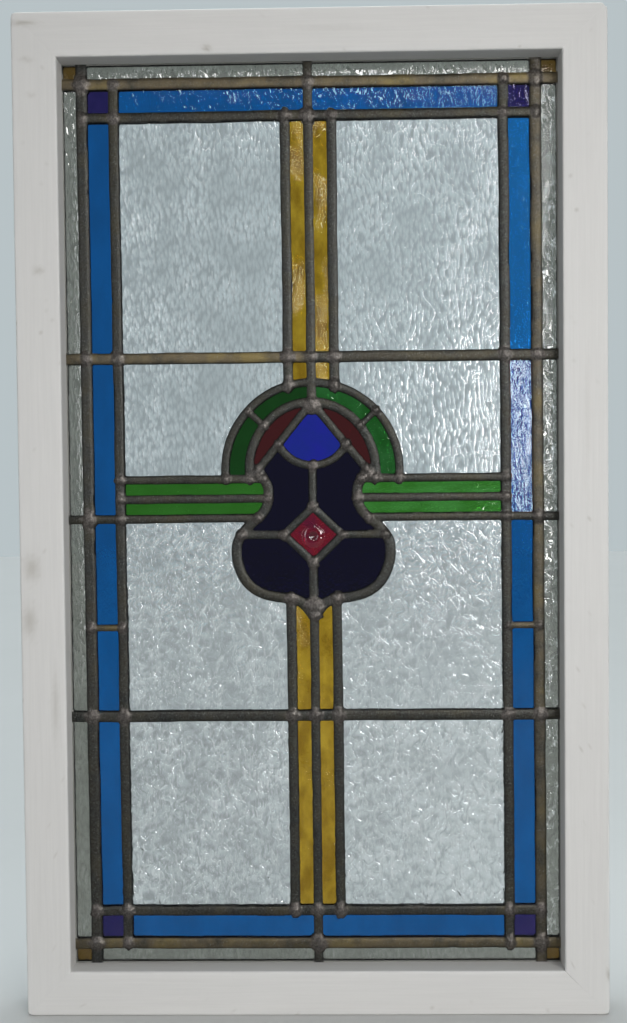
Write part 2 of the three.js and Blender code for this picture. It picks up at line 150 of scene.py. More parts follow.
# The motif's own sizes, the same as the solids'
ARCH_CENTRE = ARM_HIGH + 6.4
ARCH_RADIUS = 63.4
INNER_ARCH_X = 46.0
INNER_ARCH_RISE = 49.2
APEX_Z = ARCH_CENTRE + INNER_ARCH_RISE
DIVIDER_ANGLE = math.radians(42.5)
GABLE_FOOT_X = 39.5
FAN_RADIUS = 27.5
FAN_BOTTOM = APEX_Z - 46.0
DIAMOND_Z = ARM_MIDDLE - 26.7
DIAMOND_X = 21.5
DIAMOND_RISE = 20.5
SHIELD = [
    (33.4, 10.2), (32.2, 3.2), (33.4, -5.0), (38.6, -12.8), (47.5, -20.6), (54.6, -30.0), (56.2, -41.0),
    (53.2, -53.2), (47.0, -63.0), (38.0, -69.2), (27.0, -72.2), (17.0, -73.2), (9.0, -76.2), (4.0, -81.5),
    (0.9, -86.0),
]
APEX_POOL = (0.0, APEX_Z - 2.6, 6.8)
OGEE_POOL = (0.0, ARM_MIDDLE - 79.0, 7.5)
FOOT_POOL = (41.5, ARM_HIGH + 3.2, 4.4)
POOLS = (APEX_POOL, OGEE_POOL, FOOT_POOL, (-FOOT_POOL[0], *FOOT_POOL[1:]))

# The panel leans in its frame: how far, the edge that stays held, and the width over which it comes loose
LEAN = 2.4
HELD_EDGE = 6.0
LOOSE_FROM = 14.0


def settle(x, z):
    """Where a point of the true panel comes to lie once the panel has leaned."""
    middle = (PANEL_LOW + PANEL_HIGH) / 2
    span = PANEL_HIGH - PANEL_LOW
    loose = np.clip((PANEL_X - HELD_EDGE - np.abs(x)) / LOOSE_FROM, 0.0, 1.0)
    return x - LEAN * loose * (z - middle) / span


def ease(t):
    """A share from 0 to 1, led in and out without a kink."""
    return t * t * t * (t * (t * 6 - 15) + 10)


def smoothstep(low, high, value):
    """Climbs from 0 at low to 1 at high."""
    t = np.clip((value - low) / (high - low), 0.0, 1.0)
    return t * t * (3 - 2 * t)


class LatticeNoise:
    """Smooth noise from about -1 to 1 on a stretched lattice, the same on every run."""

    size = 256
    shift = 512.0
    gain = 1.5

    def __init__(self, seed, cell_x, cell_z=None):
        draw = np.random.default_rng(SEED + seed)
        self.angles = draw.random((self.size, self.size)) * 2 * np.pi
        self.cell_x = cell_x
        self.cell_z = cell_z or cell_x

    def corner(self, ix, iz, fx, fz):
        angle = self.angles[ix % self.size, iz % self.size]
        return np.cos(angle) * fx + np.sin(angle) * fz

    def __call__(self, x, z):
        u = np.asarray(x, float) / self.cell_x + self.shift
        v = np.asarray(z, float) / self.cell_z + self.shift
        ix = np.floor(u).astype(int)
        iz = np.floor(v).astype(int)
        fx = u - ix
        fz = v - iz
        low_left = self.corner(ix, iz, fx, fz)
        low_right = self.corner(ix + 1, iz, fx - 1, fz)
        high_left = self.corner(ix, iz + 1, fx, fz - 1)
        high_right = self.corner(ix + 1, iz + 1, fx - 1, fz - 1)
        across = ease(fx)
        up = ease(fz)
        low = low_left * (1 - across) + low_right * across
        high = high_left * (1 - across) + high_right * across
        return (low * (1 - up) + high * up) * self.gain


class FramePaintSettings(bpy.types.PropertyGroup):
    """Paint and wear of the timber frame"""

    paint: FloatVectorProperty(
        name="Paint", description="Colour of the white paint", subtype="COLOR",
        default=(0.72, 0.712, 0.70), min=0.0, max=1.0,
    )
    grime: FloatVectorProperty(
        name="Grime", description="Colour of the smudges", subtype="COLOR",
        default=(0.30, 0.27, 0.22), min=0.0, max=1.0,
    )
    wave: FloatProperty(
        name="Waviness", description="How far the painted faces wander from flat", unit="LENGTH",
        default=0.00012, min=0.0,
    )
    eased: FloatProperty(
        name="Eased edge", description="Radius worn on the long edges", unit="LENGTH",
        default=0.0014, min=0.0,
    )


class LeadSettings(bpy.types.PropertyGroup):
    """Lead cames and the solder at their joints"""

    lead: FloatVectorProperty(
        name="Lead", description="Colour of the weathered lead", subtype="COLOR",
        default=(0.034, 0.039, 0.040), min=0.0, max=1.0,
    )
    # Colour of the painted warm sheen, a golden tone that stands in for warm light reflected by some cames
    tan: FloatVectorProperty(
        name="Tan bloom", description="Colour of the golden bloom on some cames", subtype="COLOR",
        default=(0.175, 0.138, 0.078), min=0.0, max=1.0,
    )
    solder: FloatVectorProperty(
        name="Solder", description="Colour of the tarnished solder", subtype="COLOR",
        default=(0.085, 0.076, 0.070), min=0.0, max=1.0,
    )
    lump: FloatProperty(
        name="Solder rise", description="How far the solder stands over the cames", unit="LENGTH",
        default=0.0014, min=0.0,
    )
    wander: FloatProperty(
        name="Wander", description="How far a came wanders off its line", unit="LENGTH",
        default=0.00035, min=0.0,
    )


class GlassSettings(bpy.types.PropertyGroup):
    """Colours and ripple of the glasses"""

    ripple: FloatProperty(
        name="Ripple", description="Height of the clear glass's ripples", unit="LENGTH",
        default=0.00020, min=0.0,
    )
    clear: FloatVectorProperty(
        name="Clear", description="Tint of the clear glass", subtype="COLOR",
        default=(0.92, 0.965, 0.975), min=0.0, max=1.0,
    )
    blue: FloatVectorProperty(
        name="Blue", description="Border blue", subtype="COLOR",
        default=(0.001, 0.128, 0.42), min=0.0, max=1.0,
    )
    amber: FloatVectorProperty(
        name="Amber", description="Stripe amber", subtype="COLOR",
        default=(0.66, 0.42, 0.030), min=0.0, max=1.0,
    )
    corner_amber: FloatVectorProperty(
        name="Corner amber", description="Outer corner amber", subtype="COLOR",
        default=(0.13, 0.075, 0.015), min=0.0, max=1.0,
    )
    purple: FloatVectorProperty(
        name="Purple", description="Corner purple", subtype="COLOR",
        default=(0.03, 0.02, 0.14), min=0.0, max=1.0,
    )
    green: FloatVectorProperty(
        name="Green", description="Arm green", subtype="COLOR",
        default=(0.030, 0.185, 0.012), min=0.0, max=1.0,
    )
    deep_green: FloatVectorProperty(
        name="Deep green", description="Arch green", subtype="COLOR",
        default=(0.004, 0.062, 0.006), min=0.0, max=1.0,
    )
    dark_red: FloatVectorProperty(
        name="Dark red", description="Crescent red", subtype="COLOR",
        default=(0.085, 0.010, 0.012), min=0.0, max=1.0,
    )
    cobalt: FloatVectorProperty(
        name="Cobalt", description="Fan blue", subtype="COLOR",
        default=(0.018, 0.024, 0.45), min=0.0, max=1.0,
    )
    navy: FloatVectorProperty(
        name="Navy", description="Shield blue", subtype="COLOR",
        default=(0.002, 0.0015, 0.02), min=0.0, max=1.0,
    )
    ruby: FloatVectorProperty(
        name="Ruby", description="Diamond red", subtype="COLOR",
        default=(0.30, 0.003, 0.016), min=0.0, max=1.0,
    )


class StudioSettings(bpy.types.PropertyGroup):
    """Floor, light and camera"""

    floor: FloatVectorProperty(
        name="Floor", description="Colour of the plain floor", subtype="COLOR",
        default=(0.53, 0.53, 0.522), min=0.0, max=1.0,
    )
    back_glow: FloatVectorProperty(
        name="Back glow", description="Light of the studio behind the window", subtype="COLOR",
        default=(0.478, 0.540, 0.562), min=0.0, max=1.0,
    )
    front_glow: FloatVectorProperty(
        name="Front glow", description="Light of the studio in front", subtype="COLOR",
        default=(0.165, 0.168, 0.165), min=0.0, max=1.0,
    )
    key_power: FloatProperty(
        name="Key power", description="Power of the main light",
        default=3.7, min=0.0,
    )
    fill_power: FloatProperty(
        name="Fill power", description="Power of the fill light",
        default=1.3, min=0.0,
    )
    sheen_power: FloatProperty(
        name="Sheen power", description="Power of the light that the right side mirrors",
        default=0.78, min=0.0,
    )
    strip_power: FloatProperty(
        name="Strip power", description="Power of the tall narrow light at the right",
        default=0.52, min=0.0,
    )
    glint_power: FloatProperty(
        name="Glint power", description="Power of the light that sparkles in the ripples",
        default=0.29, min=0.0,
    )
    overhead_power: FloatProperty(
        name="Overhead power", description="Power of the light on the floor behind",
        default=118.0, min=0.0,
    )


class WindowSettings(bpy.types.PropertyGroup):
    """All settings of the window"""

    paint: PointerProperty(type=FramePaintSettings)
    lead: PointerProperty(type=LeadSettings)
    glass: PointerProperty(type=GlassSettings)
    studio: PointerProperty(type=StudioSettings)


def settings():
    """The settings of this scene's window."""
    return bpy.context.scene.leaded_window


# Node helpers
def shade(colour, share):
    """A colour, darker or lighter."""
    return tuple(min(share * c, 1.0) for c in colour)


def new_material(name):
    """A material with its node tree and its shader."""
    material = bpy.data.materials.new(name)
    material.use_nodes = True
    tree = material.node_tree
    shader = tree.nodes["Principled BSDF"]
    return material, tree, shader


def object_space(tree, scale=(1.0, 1.0, 1.0)):
    """Places on the piece in metres, stretched by a scale."""
    coordinates = tree.nodes.new("ShaderNodeTexCoord")
    mapping = tree.nodes.new("ShaderNodeMapping")
    mapping.inputs["Scale"].default_value = scale
    tree.links.new(coordinates.outputs["Object"], mapping.inputs["Vector"])
    return mapping.outputs["Vector"]


def noise(tree, vector, scale, detail, roughness):
    """Cloudy values from 0 to 1."""
    node = tree.nodes.new("ShaderNodeTexNoise")
    node.inputs["Scale"].default_value = scale
    node.inputs["Detail"].default_value = detail
    node.inputs["Roughness"].default_value = roughness
    tree.links.new(vector, node.inputs["Vector"])
    return node.outputs["Fac"]


def attribute(tree, name):
    """Values kept on the piece's own points."""
    node = tree.nodes.new("ShaderNodeAttribute")
    node.attribute_name = name
    return node.outputs["Fac"]


def remap(tree, value, low, high, to_low=0.0, to_high=1.0):
    """A value carried from one range to another and held there."""
    node = tree.nodes.new("ShaderNodeMapRange")
    node.inputs["From Min"].default_value = low
    node.inputs["From Max"].default_value = high
    node.inputs["To Min"].default_value = to_low
    node.inputs["To Max"].default_value = to_high
    tree.links.new(value, node.inputs["Value"])
    return node.outputs["Result"]


def arithmetic(tree, operation, *values):
    """One step of reckoning with numbers and sockets."""
    node = tree.nodes.new("ShaderNodeMath")
    node.operation = operation
    for socket, value in zip(node.inputs, values):
        if isinstance(value, (int, float)):
            socket.default_value = value
        else:
            tree.links.new(value, socket)
    return node.outputs["Value"]


def mix_colour(tree, factor, first, second):
    """A blend of two colours, each a tuple or a socket."""
    node = tree.nodes.new("ShaderNodeMix")
    node.data_type = "RGBA"
    tree.links.new(factor, node.inputs["Factor"])
    colours = [socket for socket in node.inputs if socket.type == "RGBA"]
    for socket, value in zip(colours, (first, second)):
        if isinstance(value, tuple):
            socket.default_value = (*value, 1.0)
        else:
            tree.links.new(value, socket)
    return next(socket for socket in node.outputs if socket.type == "RGBA")


def bump(tree, shader, height, distance, strength=1.0, base=None):
    """Small relief on a shader, over another relief where one is given."""
    node = tree.nodes.new("ShaderNodeBump")
    node.inputs["Strength"].default_value = strength
    node.inputs["Distance"].default_value = distance
    tree.links.new(height, node.inputs["Height"])
    if base is not None:
        tree.links.new(base, node.inputs["Normal"])
    tree.links.new(node.outputs["Normal"], shader.inputs["Normal"])
    return node.outputs["Normal"]


# Mesh helpers
def finish_piece(piece, material, nodes, smooth_angle=40.0):
    """Shades a piece, gives it its finish and hangs it on the window."""
    piece.data.materials.append(material)
    piece.data.polygons.foreach_set("use_smooth", [True] * len(piece.data.polygons))
    piece.data.set_sharp_from_angle(angle=math.radians(smooth_angle))
    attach(piece, ROOT)
    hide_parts(*nodes)
    return piece


def new_piece(name, points, faces):
    """A mesh object in the scene."""
    mesh = bpy.data.meshes.new(name)
    mesh.from_pydata(points, [], faces)
    mesh.update()
    piece = bpy.data.objects.new(name, mesh)
    bpy.context.scene.collection.objects.link(piece)
    return piece


def add_attribute(piece, name, values):
    """Keeps a value on each point of a piece, for its material."""
    layer = piece.data.attributes.new(name, "FLOAT", "POINT")
    layer.data.foreach_set("value", np.asarray(values, np.float32))


def face_outward(piece):
    """Turns every face of a closed piece outward."""
    body = bmesh.new()
    body.from_mesh(piece.data)
    bmesh.ops.recalc_face_normals(body, faces=body.faces)
    body.to_mesh(piece.data)
    body.free()


def piece_points(piece):
    """The piece's points as rows of three, in millimetres."""
    places = np.zeros(len(piece.data.vertices) * 3)
    piece.data.vertices.foreach_get("co", places)
    return places.reshape(-1, 3) / MM


def boundary_edges(polygons):
    """Directed edges that only one polygon uses, in the polygons' own turning sense."""
    starts = []
    ends = []
    for block in polygons:
        for k in range(block.shape[1]):
            starts.append(block[:, k])
            ends.append(block[:, (k + 1) % block.shape[1]])
    starts = np.concatenate(starts).astype(np.int64)
    ends = np.concatenate(ends).astype(np.int64)
    span = int(max(starts.max(), ends.max())) + 1
    keys = starts * span + ends
    lonely = ~np.isin(keys, ends * span + starts)
    return np.stack([starts[lonely], ends[lonely]], 1)


# A cut never comes nearer to a grid point than this share of a cell
LEAST_SHARE = 0.1


def contour_cells(xs, zs, field):
    """Vertices and polygons covering the part of a grid where the field is below zero."""
    inside = field < 0
    number = np.full(field.shape, -1)
    number[inside] = np.arange(inside.sum())
    gx, gz = np.meshgrid(xs, zs, indexing="ij")
    points = [np.stack([gx[inside], gz[inside]], 1)]
    count = int(inside.sum())

    def crossings(first, second, start):
        cut = inside[first] != inside[second]
        share = field[first][cut] / (field[first][cut] - field[second][cut])
        share = np.clip(share, LEAST_SHARE, 1 - LEAST_SHARE)
        x = gx[first][cut] * (1 - share) + gx[second][cut] * share
        z = gz[first][cut] * (1 - share) + gz[second][cut] * share
        points.append(np.stack([x, z], 1))
        index = np.full(cut.shape, -1)
        index[cut] = np.arange(start, start + cut.sum())
        return index, start + int(cut.sum())

    along_x, count = crossings(np.s_[:-1, :], np.s_[1:, :], count)
    along_z, count = crossings(np.s_[:, :-1], np.s_[:, 1:], count)
    corners = [number[:-1, :-1], number[1:, :-1], number[1:, 1:], number[:-1, 1:]]
    sides = [along_x[:, :-1], along_z[1:, :], along_x[:, 1:], along_z[:-1, :]]
    held = [inside[:-1, :-1], inside[1:, :-1], inside[1:, 1:], inside[:-1, 1:]]
    case = sum(h.astype(int) << k for k, h in enumerate(held))
    polygons = []
    for value in range(1, 16):
        where = case == value
        if not where.any():
            continue
        columns = []
        for k in range(4):
            here = value >> k & 1
            after = value >> (k + 1) % 4 & 1
            if here:
                columns.append(corners[k][where])
            if here != after:
                columns.append(sides[k][where])
        polygons.append(np.stack(columns, 1))
    return np.concatenate(points), polygons


def plate(name, points, polygons, front, flat_back):
    """A closed plate with a modelled front and a flat back. Lengths are in millimetres."""
    edges = boundary_edges(polygons)
    count = len(points)
    x, z = points[:, 0], points[:, 1]
    settled = settle(x, z)
    front_points = np.stack([settled, front, z], 1) * MM
    faces = []
    for block in polygons:
        faces.extend(block.tolist())
    rim = np.unique(edges)
    place = np.full(count, -1)
    place[rim] = np.arange(len(rim)) + count
    rim_points = np.stack([settled[rim], np.full(len(rim), flat_back), z[rim]], 1) * MM
    walls = np.stack([edges[:, 1], edges[:, 0], place[edges[:, 0]], place[edges[:, 1]]], 1)
    faces.extend(walls.tolist())
    for first, second, third in fill_inside(points[rim], place[edges] - count):
        faces.append((first + count, third + count, second + count))
    return new_piece(name, np.concatenate([front_points, rim_points]), faces)


def fill_inside(points, rim_edges):
    """Triangles of the flat area inside rims that run with the area on their left."""
    corners = [Vector(point) for point in points.tolist()]
    rims = [tuple(edge) for edge in rim_edges.tolist()]
    found = delaunay_2d_cdt(corners, rims, [], 0, 1e-6)
    first_named = [names[0] for names in found[3]]
    triangles = [tuple(first_named[i] for i in triangle) for triangle in found[2]]
    owner = {}
    for place, triangle in enumerate(triangles):
        for k in range(3):
            owner[(triangle[k], triangle[(k + 1) % 3])] = place
    fixed = set(rims)
    inside = {owner[edge] for edge in rims if edge in owner}
    waiting = list(inside)
    while waiting:
        triangle = triangles[waiting.pop()]
        for k in range(3):
            first, second = triangle[k], triangle[(k + 1) % 3]
            if (first, second) in fixed or (second, first) in fixed:
                continue
            beyond = owner.get((second, first))
            if beyond is not None and beyond not in inside:
                inside.add(beyond)
                waiting.append(beyond)
    return [triangles[place] for place in sorted(inside)]


# Lead lines: width, points of the centre line, and how much painted warm sheen it has
def straight(x1, z1, x2, z2):
    """A straight centre line."""
    return np.array([(x1, z1), (x2, z2)])


def ellipse(centre_z, radius_x, radius_z, start, end, steps):
    """Part of an ellipse that stands on the panel's middle line."""
    angles = np.linspace(start, end, steps + 1)
    return np.stack([radius_x * np.cos(angles), centre_z + radius_z * np.sin(angles)], 1)


def spline(points, steps):
    """Uniform cubic through the points, as the solids use."""
    points = np.asarray(points, float)
    last = len(points) - 1
    result = []
    for place in np.linspace(0.0, last, steps + 1):
        i = min(int(place), last - 1)
        t = place - i
        p0, p1 = points[max(i - 1, 0)], points[i]
        p2, p3 = points[i + 1], points[min(i + 2, last)]
        a = (p2 - p0) / 2
        b = (p3 - p1) / 2
        result.append(
            (2 * p1 - 2 * p2 + a + b) * t**3 + (-3 * p1 + 3 * p2 - 2 * a - b) * t**2 + a * t + p1
        )
    return np.array(result)


def both_sides(points):
    """A line and its mirror image."""
    return [points, points * np.array([-1.0, 1.0])]


def crossing(curve, axis, level):
    """Where a curve first crosses a level along an axis (0 across, 1 up), read on the other axis."""
    for before, after in zip(curve[:-1], curve[1:]):
        if (before[axis] - level) * (after[axis] - level) <= 0:
            share = (level - before[axis]) / (after[axis] - before[axis])
            return before[1 - axis] + share * (after[1 - axis] - before[1 - axis])
    raise ValueError("the curve never reaches that level")


def shield_line():
    """The right edge of the shield, from the arch down to the point."""
    points = [(GABLE_FOOT_X, ARCH_CENTRE)] + [(x, ARM_MIDDLE + rise) for x, rise in SHIELD]
    return spline(points, 120)


def border_lines():
    """The outer and inner border leads and their short ties."""
    reach = PANEL_X - HEART
    lines = [
        (BORDER_CAME, straight(BORDER_X, PANEL_LOW + HEART, BORDER_X, PANEL_HIGH - HEART), 0.38),
        (BORDER_CAME, straight(-BORDER_X, PANEL_LOW + HEART, -BORDER_X, PANEL_HIGH - HEART), 0.12),
        (BORDER_CAME, straight(-reach, BORDER_HIGH, reach, BORDER_HIGH), 0.75),
        (BORDER_CAME, straight(-reach, BORDER_LOW, reach, BORDER_LOW), 0.6),
    ]
    for z in (INNER_HIGH, INNER_LOW):
        lines.append((INNER_CAME, straight(-BORDER_X, z, BORDER_X, z), 0.15))
    for side in both_sides(straight(INNER_X, BORDER_LOW, INNER_X, BORDER_HIGH)):
        lines.append((INNER_CAME, side, 0.1))
    for side in both_sides(straight(INNER_X, TIE_Z, BORDER_X, TIE_Z)):
        lines.append((TIE_CAME, side, 0.5))
    return lines


def crossing_lines(shield):
    """The two cross leads and the three leads of each arm."""
    reach = PANEL_X - HEART
    lines = [
        (BORDER_CAME, straight(-reach, UPPER_CROSS, 0.0, UPPER_CROSS), 0.75),
        (BORDER_CAME, straight(0.0, UPPER_CROSS, reach, UPPER_CROSS), 0.2),
        (BORDER_CAME, straight(-reach, LOWER_CROSS, reach, LOWER_CROSS), 0.12),
    ]
    for z, end in ((ARM_HIGH, INNER_X), (ARM_MIDDLE, INNER_X), (ARM_LOW, reach)):
        for side in both_sides(straight(crossing(shield, 1, z), z, end, z)):
            lines.append((ARM_CAME, side, 0.15))
    return lines


def stripe_lines(shield):
    """The leads beside the amber stripes and the one between them."""
    arch_z = ARCH_CENTRE + math.sqrt(ARCH_RADIUS**2 - STRIPE_X**2)
    lines = []
    for low, high in ((arch_z, INNER_HIGH), (INNER_LOW, crossing(shield, 0, STRIPE_X))):
        for side in both_sides(straight(STRIPE_X, low, STRIPE_X, high)):
            lines.append((INNER_CAME, side, 0.1))
    lines.append((CENTRE_CAME, straight(0.0, APEX_Z, 0.0, PANEL_HIGH - HEART), 0.15))
    lines.append((CENTRE_CAME, straight(0.0, PANEL_LOW + HEART, 0.0, DIAMOND_Z - DIAMOND_RISE), 0.1))
    return lines


def fan_line():
    """The round lead under the gable."""
    centre = FAN_BOTTOM + FAN_RADIUS
    tilt = math.atan((APEX_Z - ARCH_CENTRE) / GABLE_FOOT_X)
    reach = math.asin((APEX_Z - centre) / FAN_RADIUS * math.cos(tilt)) - tilt
    return ellipse(centre, FAN_RADIUS, FAN_RADIUS, math.pi - reach, 2 * math.pi + reach, 40)


def arch_line(radius_x, radius_z):
    """A lead of the arch, from one arm over to the other."""
    start = math.asin((ARM_HIGH - ARCH_CENTRE) / radius_z)
    return ellipse(ARCH_CENTRE, radius_x, radius_z, start, math.pi - start, 120)


def motif_lines(shield):
    """The arch with its dividers, the gable, the fan, the diamond and the shield."""
    across = math.cos(DIVIDER_ANGLE)
    up = math.sin(DIVIDER_ANGLE)
    reach = 1 / math.hypot(across / INNER_ARCH_X, up / INNER_ARCH_RISE)
    divider = straight(
        reach * across, ARCH_CENTRE + reach * up,
        ARCH_RADIUS * across, ARCH_CENTRE + ARCH_RADIUS * up,
    )
    top = DIAMOND_Z + DIAMOND_RISE
    foot = DIAMOND_Z - DIAMOND_RISE
    lines = [
        (ARCH_CAME, arch_line(ARCH_RADIUS, ARCH_RADIUS), 0.1),
        (INNER_ARCH_CAME, arch_line(INNER_ARCH_X, INNER_ARCH_RISE), 0.1),
        (ARCH_CAME, fan_line(), 0.1),
        (ARCH_CAME, straight(0.0, FAN_BOTTOM, 0.0, top), 0.1),
    ]
    mirrored = (
        (DIVIDER_CAME, divider, 0.1),
        (ARCH_CAME, straight(0.0, APEX_Z, GABLE_FOOT_X, ARCH_CENTRE), 0.1),
        (DIAMOND_CAME, straight(0.0, top, DIAMOND_X, DIAMOND_Z), 0.05),
        (DIAMOND_CAME, straight(DIAMOND_X, DIAMOND_Z, 0.0, foot), 0.05),
        (ARCH_CAME, straight(DIAMOND_X, DIAMOND_Z, crossing(shield, 1, DIAMOND_Z), DIAMOND_Z), 0.1),
        (SHIELD_CAME, shield, 0.1),
    )
    for width, points, painted_sheen in mirrored:
        for side in both_sides(points):
            lines.append((width, side, painted_sheen))
    return lines


def lead_lines():
    """Every lead of the panel but the edge lead."""
    shield = shield_line()
    return border_lines() + crossing_lines(shield) + stripe_lines(shield) + motif_lines(shield)


def solder_joints(lines):
    """Places where leads meet: every end of a lead, and every crossing of an upright with a level lead."""
    true = 0.01
    near = 1.0
    apart = 3.5
    spots = []
    for width, points, _ in lines:
        spots.append((*points[0], width))
        spots.append((*points[-1], width))
    uprights = [(w, p) for w, p, _ in lines if len(p) == 2 and abs(p[0, 0] - p[1, 0]) < true]
    levels = [(w, p) for w, p, _ in lines if len(p) == 2 and abs(p[0, 1] - p[1, 1]) < true]
    for upright_width, upright in uprights:
        for level_width, level in levels:
            x = upright[0, 0]
            z = level[0, 1]
            across = min(level[:, 0]) - near <= x <= max(level[:, 0]) + near
            within = min(upright[:, 1]) - near <= z <= max(upright[:, 1]) + near
            if across and within:
                spots.append((x, z, max(upright_width, level_width)))
    joints = []
    for x, z, width in spots:
        if all(math.hypot(x - a, z - b) > apart for a, b, _ in joints):
            joints.append((x, z, width))
    return joints


def distance_to_line(gx, gz, points):
    """Distance from grid points to a polyline."""
    nearest = np.full(gx.shape, np.inf)
    for (x1, z1), (x2, z2) in zip(points[:-1], points[1:]):
        dx, dz = x2 - x1, z2 - z1
        share = np.clip(((gx - x1) * dx + (gz - z1) * dz) / (dx * dx + dz * dz), 0.0, 1.0)
        nearest = np.minimum(nearest, np.hypot(gx - x1 - share * dx, gz - z1 - share * dz))
    return nearest


def stretch_of(axis, low, high):
    """The part of a grid axis from one value to another."""
    return slice(np.searchsorted(axis, low), np.searchsorted(axis, high) + 1)


def wandered(gx, gz, wander, seed):
    """Grid places, moved off by the slow wander and the small tremor of cames bent by hand."""
    moved = []
    for place, number in ((gx, seed), (gz, seed + 2)):
        slow = wander * LatticeNoise(number, LONG_WANDER)(gx, gz)
        quick = TREMOR * LatticeNoise(number + 1, TREMOR_LENGTH)(gx, gz)
        moved.append(place + slow + quick)
    return moved


def came_relief(xs, zs, moved, swelling, lines):
    """Outline, height and painted warm sheen of the cames, each crowned across its width."""
    wx, wz = moved
    field = np.full(wx.shape, FAR)
    height = np.full(wx.shape, FLANGE_EDGE)
    painted_sheen = np.zeros(wx.shape)
    for width, points, tint in lines:
        low = points.min(0) - width
        high = points.max(0) + width
        here = (stretch_of(xs, low[0], high[0]), stretch_of(zs, low[1], high[1]))
        away = distance_to_line(wx[here], wz[here], points)
        half = (width + swelling[here]) / 2
        share = np.clip(away / half, 0.0, 1.0)
        dome = FLANGE_EDGE + (CROWN - FLANGE_EDGE) * (1 - share**2.6) ** 0.7
        # Painted warm sheen: each came's share of the golden tone that stands in for the light it reflects
        painted_sheen[here] = np.where(dome > height[here], tint, painted_sheen[here])
        height[here] = np.maximum(height[here], dome)
        field[here] = np.minimum(field[here], away - half)
    return field, height, painted_sheen


def solder_spots(lines, seed):
    """Lumps and pools of solder: place, half sizes across and up, and share of the rise."""
    rng = np.random.default_rng(SEED + seed)
    spots = []
    for x, z, width in solder_joints(lines):
        radius = 0.68 * width + rng.uniform(-0.4, 0.7)
        across = radius * rng.uniform(0.85, 1.1)
        tall = radius * rng.uniform(0.9, 1.35)
        spots.append((x, z, across, tall, rng.uniform(0.5, 1.3)))
    for x, z, radius in POOLS:
        spots.append((x, z, radius, radius, 0.7))
    return spots


def lead_relief(step, lump_rise, wander, seed):
    """Height of the lead's face over a grid, with its outline, solder, painted warm sheen, dark rim of cement
    and painted shade, and the paint on its outer edge.
    """
    xs = np.linspace(-PANEL_X, PANEL_X, int(round(2 * PANEL_X / step)) + 1)
    zs = np.linspace(PANEL_LOW, PANEL_HIGH, int(round((PANEL_HIGH - PANEL_LOW) / step)) + 1)
    gx, gz = np.meshgrid(xs, zs, indexing="ij")
    lines = lead_lines()
    swelling = SWELLING * LatticeNoise(seed + 4, SWELLING_LENGTH)(gx, gz)
    field, height, painted_sheen = came_relief(xs, zs, wandered(gx, gz, wander, seed), swelling, lines)
    outside = np.maximum.reduce([np.abs(gx) - PANEL_X, PANEL_LOW - gz, gz - PANEL_HIGH])
    edge = np.maximum(outside, -outside - EDGE_LEAD)
    painted = smoothstep(0.3, -0.2, edge) * smoothstep(-0.4, 0.6, field)
    field = np.minimum(field, edge - 0.001)
    for x, z, radius in POOLS:
        field = np.minimum(field, np.hypot(gx - x, gz - z) - radius)
    solder = np.zeros(gx.shape)
    ragged = LatticeNoise(seed + 5, RAGGED_LENGTH)(gx, gz)
    pits = PIT * LatticeNoise(seed + 6, PIT_LENGTH)(gx, gz)
    for x, z, radius, tall, rise in solder_spots(lines, seed):
        here = (stretch_of(xs, x - 2 * radius, x + 2 * radius), stretch_of(zs, z - 2 * tall, z + 2 * tall))
        r = np.hypot((gx[here] - x) / radius, (gz[here] - z) / tall) * (1 + 0.25 * ragged[here])
        cap = np.clip(1 - r**2, 0.0, 1.0)
        lump = FLANGE_EDGE + SKIN + (CROWN - FLANGE_EDGE + lump_rise * rise) * cap**0.75 + pits[here] * cap
        height[here] = np.where(r < 1, np.maximum(height[here], lump), height[here])
        field[here] = np.minimum(field[here], (r - 0.92) * radius)
        solder[here] = np.maximum(solder[here], smoothstep(1.25, 0.75, r))
    dents = DENT * LatticeNoise(seed + 7, DENT_LENGTH)(gx, gz)
    nicks = NICK * LatticeNoise(seed + 8, NICK_LENGTH)(gx, gz)
    height = height + (dents + nicks) * smoothstep(0.0, -2.0, field)
    # Dark rim along the cames' edges: part glazing cement, part painted shade where the lead meets the glass
    rim = smoothstep(-1.0, -0.1, field) * (1 - painted)
    return xs, zs, field, height, {"solder": solder, "painted_sheen": painted_sheen, "rim": rim, "painted": painted}


def sample_grid(xs, zs, values, points):
    """Grid values at loose points, by straight interpolation."""
    u = (points[:, 0] - xs[0]) / (xs[1] - xs[0])
    v = (points[:, 1] - zs[0]) / (zs[1] - zs[0])
    i = np.clip(u.astype(int), 0, len(xs) - 2)
    j = np.clip(v.astype(int), 0, len(zs) - 2)
    fx, fz = u - i, v - j
    low = values[i, j] * (1 - fx) + values[i + 1, j] * fx
    high = values[i, j + 1] * (1 - fx) + values[i + 1, j + 1] * fx
    return low * (1 - fz) + high * fz


def lead_face(name, side, step, lump_rise, wander, seed):
    """The front (-1) or back (1) face of the leadwork, down to the glass."""
    xs, zs, field, height, marks = lead_relief(step, lump_rise, wander, seed)
    points, polygons = contour_cells(xs, zs, field)
    rise = sample_grid(xs, zs, height, points)
    on_edge = sample_grid(xs, zs, field, points) > -SKIN
    rise = np.where(on_edge, np.minimum(rise, FLANGE_EDGE + SKIN), rise)
    piece = plate(name, points, polygons, PANEL_Y + side * rise, PANEL_Y + side * CHANNEL)
    if side > 0:
        piece.data.flip_normals()
    total = len(piece.data.vertices)
    for mark, values in marks.items():
        full = np.zeros(total)
        full[: len(points)] = sample_grid(xs, zs, values, points)
        # The walls' foot at the glass is fully dark: painted shade where the lead meets the glass
        if mark == "rim":
            full[len(points):] = 1.0
        add_attribute(piece, mark, full)
    return piece


